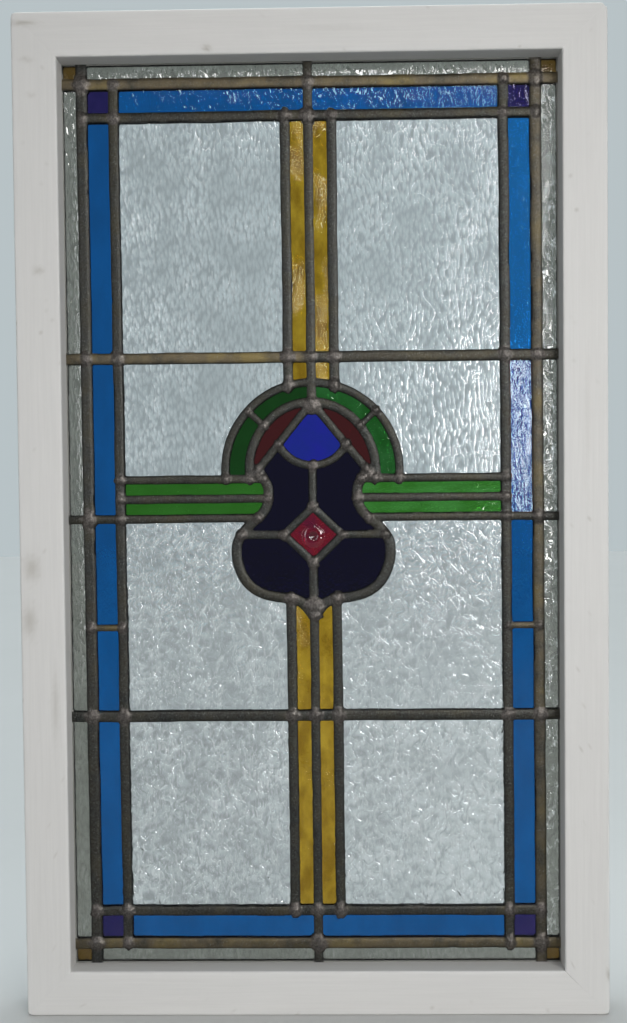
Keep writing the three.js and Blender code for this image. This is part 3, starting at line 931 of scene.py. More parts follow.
def heart_walls():
    """Thin upright walls of the cames between the front and back faces."""
    points = []
    faces = []
    overlap = 0.2
    deep = CHANNEL + overlap
    for _, line, _ in lead_lines():
        ahead = np.gradient(line, axis=0)
        ahead /= np.linalg.norm(ahead, axis=1)[:, None]
        across = np.stack([ahead[:, 1], -ahead[:, 0]], 1) * HEART / 2
        start = len(points)
        for centre, offset in zip(line, across):
            for sx, sy in ((1, -1), (1, 1), (-1, 1), (-1, -1)):
                x, z = centre + sx * offset
                points.append((float(settle(x, z)) * MM, (PANEL_Y + sy * deep) * MM, z * MM))
        for i in range(len(line) - 1):
            a = start + 4 * i
            for k in range(4):
                n = (k + 1) % 4
                faces.append((a + k, a + n, a + 4 + n, a + 4 + k))
        last = start + 4 * (len(line) - 1)
        faces.append((start + 3, start + 2, start + 1, start))
        faces.append((last, last + 1, last + 2, last + 3))
    return new_piece("lead_hearts", points, faces)


def lead_material():
    """Weathered lead: a painted warm sheen on some cames, tarnished solder, dark rims of glazing cement and
    painted shade, and a painted outer edge.
    """
    choice = settings().lead
    fleck_tone = (0.24, 0.25, 0.24)
    cement_and_shade_tone = (0.012, 0.012, 0.011)
    sheen_gold_tone = (0.27, 0.205, 0.07)
    edge_paint = (0.52, 0.52, 0.49)
    material, tree, shader = new_material("weathered_lead")
    space = object_space(tree)
    broad = noise(tree, space, 60.0, 4.0, 0.6)
    fine = noise(tree, space, 700.0, 5.0, 0.65)
    # Painted warm sheen: golden colour on some cames in place of reflected warm light
    painted_sheen = arithmetic(tree, "MULTIPLY", attribute(tree, "painted_sheen"), remap(tree, broad, 0.35, 0.6, 0.35, 1.15))
    body = mix_colour(tree, remap(tree, fine, 0.38, 0.62), shade(choice.lead, 0.35), shade(choice.lead, 1.15))
    sheen_gold = remap(tree, noise(tree, space, 24.0, 2.0, 0.5), 0.50, 0.62, 0.0, 0.75)
    body = mix_colour(tree, painted_sheen, body, mix_colour(tree, sheen_gold, tuple(choice.tan), sheen_gold_tone))
    grey = remap(tree, fine, 0.40, 0.66)
    solder = mix_colour(tree, grey, shade(choice.solder, 0.7), shade(choice.solder, 1.9))
    spread = arithmetic(tree, "MULTIPLY", attribute(tree, "solder"), remap(tree, broad, 0.3, 0.6, 0.55, 1.0))
    body = mix_colour(tree, spread, body, solder)
    flecks = remap(tree, noise(tree, space, 1100.0, 2.0, 0.6), 0.64, 0.70, 0.0, 0.55)
    body = mix_colour(tree, flecks, body, fleck_tone)
    # Dark rim: glazing cement and painted shade at the cames' edges
    rim = arithmetic(tree, "MULTIPLY", attribute(tree, "rim"), 0.75)
    body = mix_colour(tree, rim, body, cement_and_shade_tone)
    body = mix_colour(tree, attribute(tree, "painted"), body, edge_paint)
    tree.links.new(body, shader.inputs["Base Color"])
    dull = remap(tree, broad, 0.3, 0.7, 0.32, 0.52)
    roughness = arithmetic(tree, "SUBTRACT", dull, arithmetic(tree, "MULTIPLY", spread, 0.08))
    tree.links.new(roughness, shader.inputs["Roughness"])
    shader.inputs["Metallic"].default_value = 0.6
    bump(tree, shader, fine, 0.0003, 0.8)
    return material


# Glass panes
def pane_outline(node):
    """Boundary segments of a pane's flat back, in millimetres."""
    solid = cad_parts[node]
    corners = piece_points(solid)
    edges = {}
    for polygon in solid.data.polygons:
        if polygon.normal.y < 0.99:
            continue
        ring = [tuple(np.round(corners[i][[0, 2]], 3)) for i in polygon.vertices]
        for first, second in zip(ring, ring[1:] + ring[:1]):
            if (second, first) in edges:
                del edges[(second, first)]
            else:
                edges[(first, second)] = True
    return np.array([(*first, *second) for first, second in edges])


def outline_field(gx, gz, segments):
    """Signed distance to a pane's edge, below zero inside it."""
    nearest = np.full(gx.shape, np.inf)
    crossed = np.zeros(gx.shape, int)
    for x1, z1, x2, z2 in segments:
        dx, dz = x2 - x1, z2 - z1
        share = np.clip(((gx - x1) * dx + (gz - z1) * dz) / (dx * dx + dz * dz), 0.0, 1.0)
        nearest = np.minimum(nearest, np.hypot(gx - x1 - share * dx, gz - z1 - share * dz))
        spans = (z1 > gz) != (z2 > gz)
        if spans.any():
            at = x1 + (gz - z1) / (dz if dz else 1.0) * dx
            crossed += spans & (gx < at)
    return np.where(crossed % 2 == 1, -nearest, nearest)


def pane_grid(low, high, step):
    """Grid lines from one corner to the other, about a step apart."""
    nx = max(int(round((high[0] - low[0]) / step)), 2)
    nz = max(int(round((high[1] - low[1]) / step)), 2)
    xs = np.linspace(low[0], high[0], nx + 1)
    zs = np.linspace(low[1], high[1], nz + 1)
    return xs, zs


# A grid point this near to a pane's edge counts as inside it
ON_EDGE = 0.02


def make_pane(name, nodes, segments, step, relief, material):
    """One pane. The relief gives its face's height over the plain glass."""
    low = np.minimum(segments[:, :2].min(0), segments[:, 2:].min(0))
    high = np.maximum(segments[:, :2].max(0), segments[:, 2:].max(0))
    xs, zs = pane_grid(low, high, step)
    gx, gz = np.meshgrid(xs, zs, indexing="ij")
    slant = np.abs((segments[:, 2] - segments[:, 0]) * (segments[:, 3] - segments[:, 1])).max()
    if len(segments) == 4 and slant < 0.01:
        field = np.full(gx.shape, -1.0)
    else:
        field = outline_field(gx, gz, segments)
        field = np.where(np.abs(field) < ON_EDGE, -ON_EDGE, field)
    points, polygons = contour_cells(xs, zs, field)
    front = relief(points[:, 0], points[:, 1])
    piece = plate(name, points, polygons, PANEL_Y - GLASS_HALF - front, PANEL_Y + GLASS_HALF)
    return finish_piece(piece, material, nodes, 60.0)


def clear_relief(height, seed):
    """The slower waves of rippled glass, under its pressed grains."""
    waves = LatticeNoise(seed, 4.2, 8.5)
    mottle = LatticeNoise(seed + 1, 7.5, 9.0)
    swell = LatticeNoise(seed + 2, 20.0, 26.0)

    def relief(x, z):
        return height * (0.45 * waves(x + 0.2 * z, z) + 0.5 * mottle(x, z) + 1.1 * swell(x, z))

    return relief


def soft_relief(height, seed, length_x, length_z, lean=0.0):
    """Gently waved glass, which may sit at a small angle in its channel."""
    finer = 3.5
    wave = LatticeNoise(seed, length_x, length_z)
    fine = LatticeNoise(seed + 1, length_x / finer, length_z / finer)

    def relief(x, z):
        return height * (wave(x, z) + 0.22 * fine(x, z)) + lean * (x - x.mean())

    return relief


def glass_shader(name, roughness):
    """Shader of glass that light passes through."""
    material, tree, shader = new_material(name)
    shader.inputs["Transmission Weight"].default_value = 1.0
    shader.inputs["IOR"].default_value = 1.5
    shader.inputs["Roughness"].default_value = roughness
    return material, tree, shader


def glass_material(
    name, colour, roughness, bump_height, bump_scale,
    streak=None, stretch=(1.0, 1.0, 1.0), mirror=0.5, patches=None,
):
    """Coloured glass, with a second tone in wisps, and its fine bumps all over or in patches only."""
    material, tree, shader = glass_shader(name, roughness)
    shader.inputs["Specular IOR Level"].default_value = mirror
    space = object_space(tree, stretch)
    if streak is None:
        shader.inputs["Base Color"].default_value = (*colour, 1.0)
    else:
        wisps = noise(tree, space, 55.0, 4.0, 0.6)
        tone = mix_colour(tree, remap(tree, wisps, 0.38, 0.66), tuple(colour), tuple(streak))
        tree.links.new(tone, shader.inputs["Base Color"])
    height = noise(tree, space, bump_scale, 2.5, 0.5)
    if patches is not None:
        held = remap(tree, noise(tree, space, patches, 1.0, 0.5), 0.48, 0.62, 0.12, 1.0)
        height = arithmetic(tree, "MULTIPLY", height, held)
    bump(tree, shader, height, bump_height)
    return material


# Two sets of pressed grains: slant, width and length in metres, and shift along the pane
FIRST_GRAINS = (0.12, 0.0028, 0.0100, 3.0)
SECOND_GRAINS = (-0.16, 0.0031, 0.0072, 71.0)


def grains(tree, sway, wider, slant, width, length, shift):
    """Height of rice-grain ridges, each about as wide and long as said, that lean by the slant and sway."""
    coordinates = tree.nodes.new("ShaderNodeTexCoord")
    split = tree.nodes.new("ShaderNodeSeparateXYZ")
    tree.links.new(coordinates.outputs["Object"], split.inputs["Vector"])
    up = split.outputs["Z"]
    across = arithmetic(tree, "ADD", split.outputs["X"], arithmetic(tree, "MULTIPLY", up, slant))
    across = arithmetic(tree, "ADD", across, sway)
    joined = tree.nodes.new("ShaderNodeCombineXYZ")
    tree.links.new(arithmetic(tree, "DIVIDE", across, width * wider), joined.inputs["X"])
    tree.links.new(arithmetic(tree, "MULTIPLY_ADD", up, 1.0 / length, shift), joined.inputs["Y"])
    cells = tree.nodes.new("ShaderNodeTexVoronoi")
    cells.voronoi_dimensions = "2D"
    cells.feature = "SMOOTH_F1"
    cells.inputs["Smoothness"].default_value = 0.3
    cells.inputs["Scale"].default_value = 1.0
    tree.links.new(joined.outputs["Vector"], cells.inputs["Vector"])
    ramp = tree.nodes.new("ShaderNodeMapRange")
    ramp.interpolation_type = "SMOOTHSTEP"
    ramp.inputs["From Min"].default_value = 0.60
    ramp.inputs["From Max"].default_value = 0.05
    tree.links.new(cells.outputs["Distance"], ramp.inputs["Value"])
    return ramp.outputs["Result"]


def curls(tree, scale, width):
    """Thin wandering lines, here and there, used as painted highlights like the rims of ripples that catch
    the light.
    """
    wave = noise(tree, object_space(tree, (1.0, 1.0, 0.45)), scale, 1.0, 0.5)
    away = arithmetic(tree, "ABSOLUTE", arithmetic(tree, "SUBTRACT", wave, 0.5))
    line = remap(tree, away, 0.0, width, 1.0, 0.0)
    kept = remap(tree, noise(tree, object_space(tree, (1.0, 1.0, 0.6)), 0.55 * scale, 0.0, 0.5), 0.47, 0.58)
    return arithmetic(tree, "MULTIPLY", line, kept)


def rippled_material(name, shaded_valley, lit_ridge, depth, grain, sparkle, coat, curl=0.0):
    """Cathedral glass, pressed with fine upright grains that lean both ways; its colour holds painted light
    and shade and painted glints.
    """
    material, tree, shader = glass_shader(name, 0.12)
    space = object_space(tree)
    sway = 0.0
    if curl > 0.0:
        sway = arithmetic(tree, "MULTIPLY", noise(tree, space, 150.0, 0.0, 0.5), 0.012 * curl)
    first = grains(tree, sway, grain, *FIRST_GRAINS)
    second = grains(tree, sway, grain, *SECOND_GRAINS)
    ridges = arithmetic(tree, "MAXIMUM", first, arithmetic(tree, "MULTIPLY", second, 0.85))
    patches = noise(tree, object_space(tree, (1.0, 1.0, 0.6)), 42.0, 1.0, 0.5)
    held = arithmetic(tree, "MULTIPLY", ridges, remap(tree, patches, 0.32, 0.62, 0.45, 1.0))
    place = tree.nodes.new("ShaderNodeSeparateXYZ")
    tree.links.new(space, place.inputs["Vector"])
    # Painted light and shade: the tone runs from the shaded valley colour to the lit ridge colour, and grows
    # lighter to the right as if lit from that side
    painted_right_light = remap(tree, place.outputs["X"], -0.09, 0.11, -0.05, 0.38)
    tone = mix_colour(tree, arithmetic(tree, "ADD", held, painted_right_light), tuple(shaded_valley), tuple(lit_ridge))
    # Painted glints: white flecks in the colour, in patches
    flashes = noise(tree, object_space(tree, (1.0, 1.0, 0.3)), 620.0 / grain, 1.0, 0.5)
    painted_glints = remap(tree, flashes, 0.56, 0.66, 0.0, sparkle)
    painted_glints = arithmetic(tree, "MULTIPLY", painted_glints, remap(tree, patches, 0.40, 0.60, 0.25, 1.0))
    # Painted highlights: the curls' thin lines are white in the colour, and also raise the relief a little
    if curl > 0.0:
        rims = arithmetic(tree, "MULTIPLY", curls(tree, 300.0, 0.05), curl)
        painted_glints = arithmetic(tree, "MAXIMUM", painted_glints, rims)
        held = arithmetic(tree, "MULTIPLY_ADD", rims, 0.3, held)
    tone = mix_colour(tree, painted_glints, tone, (1.0, 1.0, 1.0))
    tree.links.new(tone, shader.inputs["Base Color"])
    shader.inputs["Coat Weight"].default_value = coat
    shader.inputs["Coat Roughness"].default_value = 0.03
    shader.inputs["Coat IOR"].default_value = 1.5
    pressed = bump(tree, shader, held, depth)
    tree.links.new(pressed, shader.inputs["Coat Normal"])
    return material


class LW_OT_timber_frame(bpy.types.Operator):
    """Builds the four painted timber members"""

    bl_idname = "leaded_window.timber_frame"
    bl_label = "Timber Frame"

    def execute(self, context):
        build_timber_frame()
        return {"FINISHED"}


class LW_OT_putty(bpy.types.Operator):
    """Runs the putty round the rebate behind the panel"""

    bl_idname = "leaded_window.putty"
    bl_label = "Putty"

    def execute(self, context):
        build_putty()
        return {"FINISHED"}


class LW_OT_leadwork(bpy.types.Operator):
    """Builds the soldered lead cames"""

    bl_idname = "leaded_window.leadwork"
    bl_label = "Leadwork"

    def execute(self, context):
        build_leadwork()
        return {"FINISHED"}


class LW_OT_clear_glass(bpy.types.Operator):
    """Cuts the rippled clear panes and the outer ring"""

    bl_idname = "leaded_window.clear_glass"
    bl_label = "Clear Glass"

    def execute(self, context):
        build_clear_glass()
        return {"FINISHED"}


class LW_OT_coloured_glass(bpy.types.Operator):
    """Cuts the coloured panes of the borders, stripes and motif"""

    bl_idname = "leaded_window.coloured_glass"
    bl_label = "Coloured Glass"

    def execute(self, context):
        build_coloured_glass()
        return {"FINISHED"}


class LW_OT_jewel(bpy.types.Operator):
    """Presses the ruby diamond with its round boss"""

    bl_idname = "leaded_window.jewel"
    bl_label = "Ruby Diamond"

    def execute(self, context):
        build_jewel()
        return {"FINISHED"}


class LW_OT_studio(bpy.types.Operator):
    """Sets the floor, lights and camera"""

    bl_idname = "leaded_window.studio"
    bl_label = "Studio"

    def execute(self, context):
        build_studio()
        return {"FINISHED"}


# Marks on the paint: place across and up the frame, half sizes, all in millimetres, and strength
MARKS = {
    "rub_top_left": (-201.92, 712.21, 9.0, 1.6, 0.55),
    "spot_left_of_centre": (-71.58, 692.26, 2.6, 2.0, 0.6),
    "upper_mitre": (-199.79, 686.57, 4.0, 1.6, 0.35),
    "below_upper_mitre": (-196.94, 661.64, 3.0, 1.4, 0.3),
    "left_stile_upper": (-193.38, 537.71, 3.2, 2.2, 0.4),
    "left_stile_middle": (-201.92, 325.46, 5.0, 8.0, 0.42),
    "left_stile_lower": (-204.06, 287.71, 4.5, 10.0, 0.4),
    "left_sight_edge": (-186.25, 225.74, 2.2, 22.0, 0.28),
    "right_foot": (209.76, 29.16, 1.6, 4.0, 0.5),
    "top_rail_streak": (11.75, 705.09, 26.0, 1.2, 0.16),
    "right_stile_streak": (195.51, 425.17, 1.6, 42.0, 0.12),
}
SPECK = 0.35


def grime_at(x, z):
    """How dirty the paint is at a place on the frame, from 0 to 1."""
    total = np.zeros_like(x)
    ragged = LatticeNoise(70, 3.0)(x, z)
    for mark_x, mark_z, half_x, half_z, strength in MARKS.values():
        spread = ((x - mark_x) / half_x) ** 2 + ((z - mark_z) / half_z) ** 2
        total = np.maximum(total, strength * np.exp(-spread * (1 + 0.6 * ragged)))
    total = total + SPECK * smoothstep(0.72, 0.95, LatticeNoise(71, 2.2)(x, z))
    return np.clip(total, 0.0, 1.0)


# The timber's section, in millimetres
REVEAL_DEPTH = 17.0
REBATE_PLAY = 0.4
BACK_ARRIS = 0.5
BACK_EDGE = 0.8
MITRE_GAP = 0.03
RING_LENGTH = 2.6

# Wear of the timber, in millimetres: depth of the worn face, its hollows, and the knocked corners
WORN_FACE = 2.0
HOLLOW = 0.12
KNOCKED_CORNER = 4.0
KNOCK_BACK = 0.6
KNOCK_IN = 0.7


def member_section(eased):
    """Points round a member's section: distance in from the outer edge, and depth from front to back."""
    rebate = FRAME_X - PANEL_X - REBATE_PLAY
    shoulder = FRAME_FRONT + REVEAL_DEPTH
    turn = []
    for k in range(5):
        angle = math.pi / 2 * k / 4
        turn.append((eased * (1 - math.cos(angle)), eased * (1 - math.sin(angle))))
    outer = [(a, FRAME_FRONT + b) for a, b in turn]
    flat = [(eased + (MEMBER - 2 * eased) * k / 14, FRAME_FRONT) for k in range(1, 14)]
    inner = [(MEMBER - a, FRAME_FRONT + b) for a, b in reversed(turn)]
    reveal = [(MEMBER, FRAME_FRONT + eased + (REVEAL_DEPTH - eased) * k / 6) for k in range(1, 7)]
    arris = rebate - BACK_ARRIS
    back = [(rebate, shoulder), (rebate, FRAME_BACK - BACK_ARRIS), (arris, FRAME_BACK)]
    back += [(arris - (arris - BACK_EDGE) * k / 6, FRAME_BACK) for k in range(1, 7)]
    tall = FRAME_BACK - FRAME_FRONT - BACK_EDGE - eased
    side = [(0.0, FRAME_BACK - BACK_EDGE - tall * k / 8) for k in range(0, 8)]
    return outer + flat + inner + reveal + back + side


def frame_member(name, node, length, place, material, opened):
    """One member between two mitres. place turns (along, inward) into (x, z), opened widens the mitres."""
    choice = settings().paint
    section = np.array(member_section(choice.eased / MM))
    rings = int(length / RING_LENGTH)
    count = len(section)
    inward = np.tile(section[:, 0], rings + 1)
    deep = np.tile(section[:, 1], rings + 1)
    share = np.repeat(np.linspace(0.0, 1.0, rings + 1), count)
    reach = inward + MITRE_GAP
    near_sight = smoothstep(0.35, 1.0, inward / MEMBER)
    start = reach + opened[0] * near_sight
    end = length - reach - opened[1] * near_sight
    along = start + share * (end - start)
    x, z = place(along, inward)
    wave = choice.wave / MM
    slow = wave * LatticeNoise(60, 24.0)(x + 0.3 * deep, z)
    push = slow + 0.4 * wave * LatticeNoise(61, 5.0)(x, z + deep)
    worn = LatticeNoise(62, 14.0)(x, z)
    corner = smoothstep(FRAME_X - KNOCKED_CORNER, FRAME_X, np.abs(x))
    corner = corner * smoothstep(KNOCKED_CORNER, 0.0, np.minimum(z, FRAME_TOP - z))
    knock = corner * (1.0 + 1.4 * ((x > 0) & (z > FRAME_TOP / 2)))
    front = deep < FRAME_FRONT + WORN_FACE
    y = deep + np.where(front, push + HOLLOW * np.clip(worn, 0, 1), 0.6 * push)
    y = np.where(front, y + KNOCK_BACK * knock, y)
    x = x - np.sign(x) * KNOCK_IN * knock
    z = z + np.where(z > FRAME_TOP / 2, -KNOCK_IN, KNOCK_IN) * knock
    z = np.clip(z, 0.0, FRAME_TOP)
    x = np.clip(x, -FRAME_X, FRAME_X)
    points = np.stack([x, y, z], 1) * MM
    faces = []
    for i in range(rings):
        for k in range(count):
            n = (k + 1) % count
            faces.append((i * count + k, i * count + n, (i + 1) * count + n, (i + 1) * count + k))
    faces.append(tuple(range(count - 1, -1, -1)))
    faces.append(tuple(range(rings * count, rings * count + count)))
    piece = new_piece(name, points, faces)
    add_attribute(piece, "grime", np.where(front, grime_at(x, z), 0.0))
    face_outward(piece)
    return finish_piece(piece, material, [node], 35.0)


def paint_material(name, stretch):
    """White paint, brushed along the member, with its smudges."""
    choice = settings().paint
    material, tree, shader = new_material(name)
    streaks = noise(tree, object_space(tree, stretch), 1.0, 4.0, 0.6)
    space = object_space(tree)
    cloud = remap(tree, noise(tree, space, 14.0, 3.0, 0.55), 0.35, 0.75, 0.0, 0.4)
    grain = noise(tree, space, 420.0, 2.0, 0.5)
    brushed = remap(tree, streaks, 0.3, 0.7)
    body = mix_colour(tree, brushed, shade(choice.paint, 0.96), shade(choice.paint, 1.02))
    body = mix_colour(tree, cloud, body, shade(choice.paint, 0.93))
    body = mix_colour(tree, attribute(tree, "grime"), body, tuple(choice.grime))
    tree.links.new(body, shader.inputs["Base Color"])
    tree.links.new(remap(tree, streaks, 0.2, 0.8, 0.42, 0.62), shader.inputs["Roughness"])
    first = bump(tree, shader, streaks, 0.00012, 0.5)
    bump(tree, shader, grain, 0.00006, 0.4, first)
    return material


def build_timber_frame():
    """Two stiles and two rails, with hairline mitres that open a little wider at two corners."""
    upright = paint_material("paint_brushed_upright", (520.0, 520.0, 16.0))
    level = paint_material("paint_brushed_level", (16.0, 520.0, 520.0))
    members = {
        "stile_left": (FRAME_TOP, lambda s, u: (u - FRAME_X, s), upright, (0.0, 0.05)),
        "stile_right": (FRAME_TOP, lambda s, u: (FRAME_X - u, s), upright, (0.16, 0.0)),
        "rail_bottom": (2 * FRAME_X, lambda s, u: (s - FRAME_X, u), level, (0.0, 0.12)),
        "rail_top": (2 * FRAME_X, lambda s, u: (s - FRAME_X, FRAME_TOP - u), level, (0.0, 0.0)),
    }
    for name, (length, place, material, opened) in members.items():
        frame_member(f"timber_{name}", f"frame_{name}", length, place, material, opened)


def putty_section(reach, start, end):
    """Points round the putty's section: distance in from the rebate, and depth."""
    blunt = 1.0
    slope = [(reach - (reach - blunt) * k / 5, start + (end - start) * k / 5) for k in range(6)]
    return [(0.0, start), (0.45 * reach, start)] + slope + [(0.0, end)]


def putty_material():
    """Old painted putty."""
    material, tree, shader = new_material("old_putty")
    patches = noise(tree, object_space(tree), 90.0, 4.0, 0.6)
    tone = mix_colour(tree, remap(tree, patches, 0.3, 0.7), (0.50, 0.49, 0.45), (0.62, 0.61, 0.57))
    tree.links.new(tone, shader.inputs["Base Color"])
    shader.inputs["Roughness"].default_value = 0.8
    bump(tree, shader, patches, 0.0004, 0.6)
    return material


def build_putty():
    """A sloped ring of putty, smoothed by knife, from the sight edge back to the timber."""
    low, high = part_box("putty_fillet")
    out_x = high.x / MM
    low_z, high_z = low.z / MM, high.z / MM
    section = putty_section(out_x - (FRAME_X - MEMBER), low.y / MM, high.y / MM)
    corners = [(-out_x, low_z, 1, 1), (out_x, low_z, -1, 1), (out_x, high_z, -1, -1), (-out_x, high_z, 1, -1)]
    points = []
    ripple = LatticeNoise(80, 16.0)
    sink_depth = 0.5
    steps = 90
    for k in range(4):
        x1, z1, sx1, sz1 = corners[k]
        x2, z2, sx2, sz2 = corners[(k + 1) % 4]
        for i in range(steps):
            t = i / steps
            for place, (inward, deep) in enumerate(section):
                x = (x1 + sx1 * inward) * (1 - t) + (x2 + sx2 * inward) * t
                z = (z1 + sz1 * inward) * (1 - t) + (z2 + sz2 * inward) * t
                shown = 3 <= place <= 6
                sink = sink_depth * abs(float(ripple(x + deep, z))) if shown else 0.0
                points.append((x * MM, (deep - sink) * MM, z * MM))
    count = len(section)
    rings = 4 * steps
    faces = []
    for i in range(rings):
        for k in range(count):
            n = (k + 1) % count
            j = (i + 1) % rings
            faces.append((i * count + k, j * count + k, j * count + n, i * count + n))
    piece = new_piece("glazing_putty", points, faces)
    face_outward(piece)
    finish_piece(piece, putty_material(), ["putty_fillet"])


def build_leadwork():
    """The front and back faces of the lead net and the hearts between them."""
    choice = settings().lead
    material = lead_material()
    lump = choice.lump / MM
    wander = choice.wander / MM
    front = lead_face("lead_front", -1, LEAD_STEP, lump, wander, LEAD_SEED)
    back = lead_face("lead_back", 1, BACK_STEP, 0.7 * lump, wander, LEAD_SEED)
    for piece, smooth_angle in ((front, 75.0), (back, 75.0), (heart_walls(), 40.0)):
        finish_piece(piece, material, ["lead_cames"], smooth_angle)


def rectangle(x1, x2, z1, z2):
    """Boundary segments of an upright rectangle."""
    return np.array([(x1, z1, x2, z1), (x2, z1, x2, z2), (x2, z2, x1, z2), (x1, z2, x1, z1)])


# Every pane has a seed of its own, this far from the next
SEED_STEP = 10


def build_clear_glass():
    """The eight rippled panes of the field, of three kinds of glass, and the outer ring."""
    choice = settings().glass
    height = choice.ripple / MM
    # Two tones per kind: painted shade in the grains' valleys, painted light on their ridges
    fine = rippled_material(
        "rippled_fine_glass", shade(choice.clear, 0.64), (0.87, 0.92, 0.93),
        depth=0.00014, grain=1.0, sparkle=1.0, coat=0.08,
    )
    waist = rippled_material(
        "rippled_waist_glass", shade(choice.clear, 0.62), (0.79, 0.83, 0.84),
        depth=0.00028, grain=1.3, sparkle=0.6, coat=0.7, curl=1.0,
    )
    lower = rippled_material(
        "rippled_lower_glass", shade(choice.clear, 0.56), (0.86, 0.90, 0.91),
        depth=0.00045, grain=1.4, sparkle=0.9, coat=1.0, curl=1.0,
    )
    seed = 200
    for row, material in (("upper", fine), ("arch", fine), ("waist", waist), ("lower", lower)):
        for side in ("left", "right"):
            node = f"clear_pane_{row}_{side}"
            relief = clear_relief(height, seed)
            make_pane(f"glass_{node}", [node], pane_outline(node), 1.0, relief, material)
            seed += SEED_STEP
    build_outer_ring(1.25 * height)


# The outer ring's panes, in millimetres: room in the lead, and size of a mesh cell
RING_PLAY = 0.3
RING_STEP = 0.9


def build_outer_ring(height):
    """The ring's own panes, parted where the short leads cross it, with amber in the corners."""
    # The ring's dark tones are painted shade; the right side's curls are painted glints
    ring = rippled_material(
        "rippled_ring_glass", (0.24, 0.243, 0.21), (0.33, 0.335, 0.295),
        depth=0.00024, grain=1.0, sparkle=0.12, coat=1.0,
    )
    glinting = rippled_material(
        "glinting_ring_glass", (0.22, 0.225, 0.20), (0.30, 0.305, 0.27),
        depth=0.00030, grain=1.0, sparkle=0.12, coat=0.7, curl=1.0,
    )
    amber = glass_material("corner_amber_glass", tuple(settings().glass.corner_amber), 0.06, 0.0004, 300.0)
    play = HEART / 2 + RING_PLAY
    end_play = HEART + RING_PLAY
    seed = 400
    cuts = [BORDER_LOW, LOWER_CROSS, ARM_LOW, UPPER_CROSS, BORDER_HIGH]
    lows = [PANEL_LOW + end_play] + [cut + play for cut in cuts]
    highs = [cut - play for cut in cuts] + [PANEL_HIGH - end_play]
    for side, name, pale in ((-1, "left", ring), (1, "right", glinting)):
        ends = sorted((side * (BORDER_X + play), side * (PANEL_X - end_play)))
        for k, (low, high) in enumerate(zip(lows, highs)):
            if k in (0, len(cuts)):
                kind, slot, material = "amber_corner", "amber_glass", amber
            else:
                kind, slot, material = "clear_ring", "clear_glass", pale
            make_pane(
                f"glass_{kind}_{name}_{k}", [f"clear_edge_strip_{name}"], rectangle(*ends, low, high),
                RING_STEP, clear_relief(height, seed), material,
            )
            seed += SEED_STEP
    for name, low, high in (("bottom", lows[0], highs[0]), ("top", lows[-1], highs[-1])):
        for side, half in ((-1, "left"), (1, "right")):
            ends = sorted((side * play, side * (BORDER_X - play)))
            make_pane(
                f"glass_clear_ring_{name}_{half}", [f"clear_edge_strip_{name}"], rectangle(*ends, low, high),
                RING_STEP, clear_relief(height, seed), ring,
            )
            seed += SEED_STEP


def blue_glasses(choice):
    """The border's blue, its finely streaked kind, and a lighter blue whose haze is a painted reflection."""
    blue = tuple(choice.blue)
    dusk = shade(choice.blue, 0.82)
    plain = glass_material(
        "blue_glass", blue, 0.05, 0.00005, 800.0, streak=dusk, stretch=(1.0, 1.0, 0.45), mirror=0.3,
    )
    lively = glass_material(
        "blue_streaked_glass", blue, 0.03, 0.00034, 520.0, streak=dusk, stretch=(1.0, 1.0, 0.2),
    )
    # Painted reflection: a lighter blue standing in for mirrored light on that pane
    reflection_blue = glass_material(
        "reflection_lit_blue_glass", (0.012, 0.19, 0.52), 0.05, 0.0001, 500.0,
        streak=(0.008, 0.165, 0.47), stretch=(1.0, 1.0, 0.4),
    )
    return plain, lively, reflection_blue


def green_glasses(choice):
    """The arms' green and the arch's, each with a lighter copy for the right side, painted as if lit from
    there.
    """
    arm = glass_material(
        "green_glass", tuple(choice.green), 0.05, 0.0002, 220.0,
        streak=(0.042, 0.23, 0.022), stretch=(0.6, 1.0, 1.6), mirror=0.35,
    )
    # Painted light: the right arms' lighter copy of the green
    right_lit_green = glass_material(
        "right_lit_green_glass", shade(choice.green, 1.25), 0.05, 0.0004, 260.0,
        streak=(0.09, 0.38, 0.07), stretch=(0.6, 1.0, 1.6),
    )
    arch = glass_material(
        "deep_green_glass", tuple(choice.deep_green), 0.05, 0.0003, 260.0,
        streak=(0.006, 0.074, 0.009), mirror=0.3,
    )
    # Painted light: the right arch panes' lighter copy of the deep green
    sunlit = glass_material(
        "sunlit_green_glass", shade(choice.deep_green, 1.9), 0.05, 0.0004, 300.0, streak=(0.030, 0.19, 0.04),
    )
    return arm, right_lit_green, arch, sunlit


# Slope across of the panes that sit at an angle in their channels
LEANING = {
    "blue_border_side_2_right": -0.045,
    "blue_border_side_3_right": 0.014,
    "blue_border_side_1_right": 0.018,
    "blue_border_side_4_right": 0.012,
}


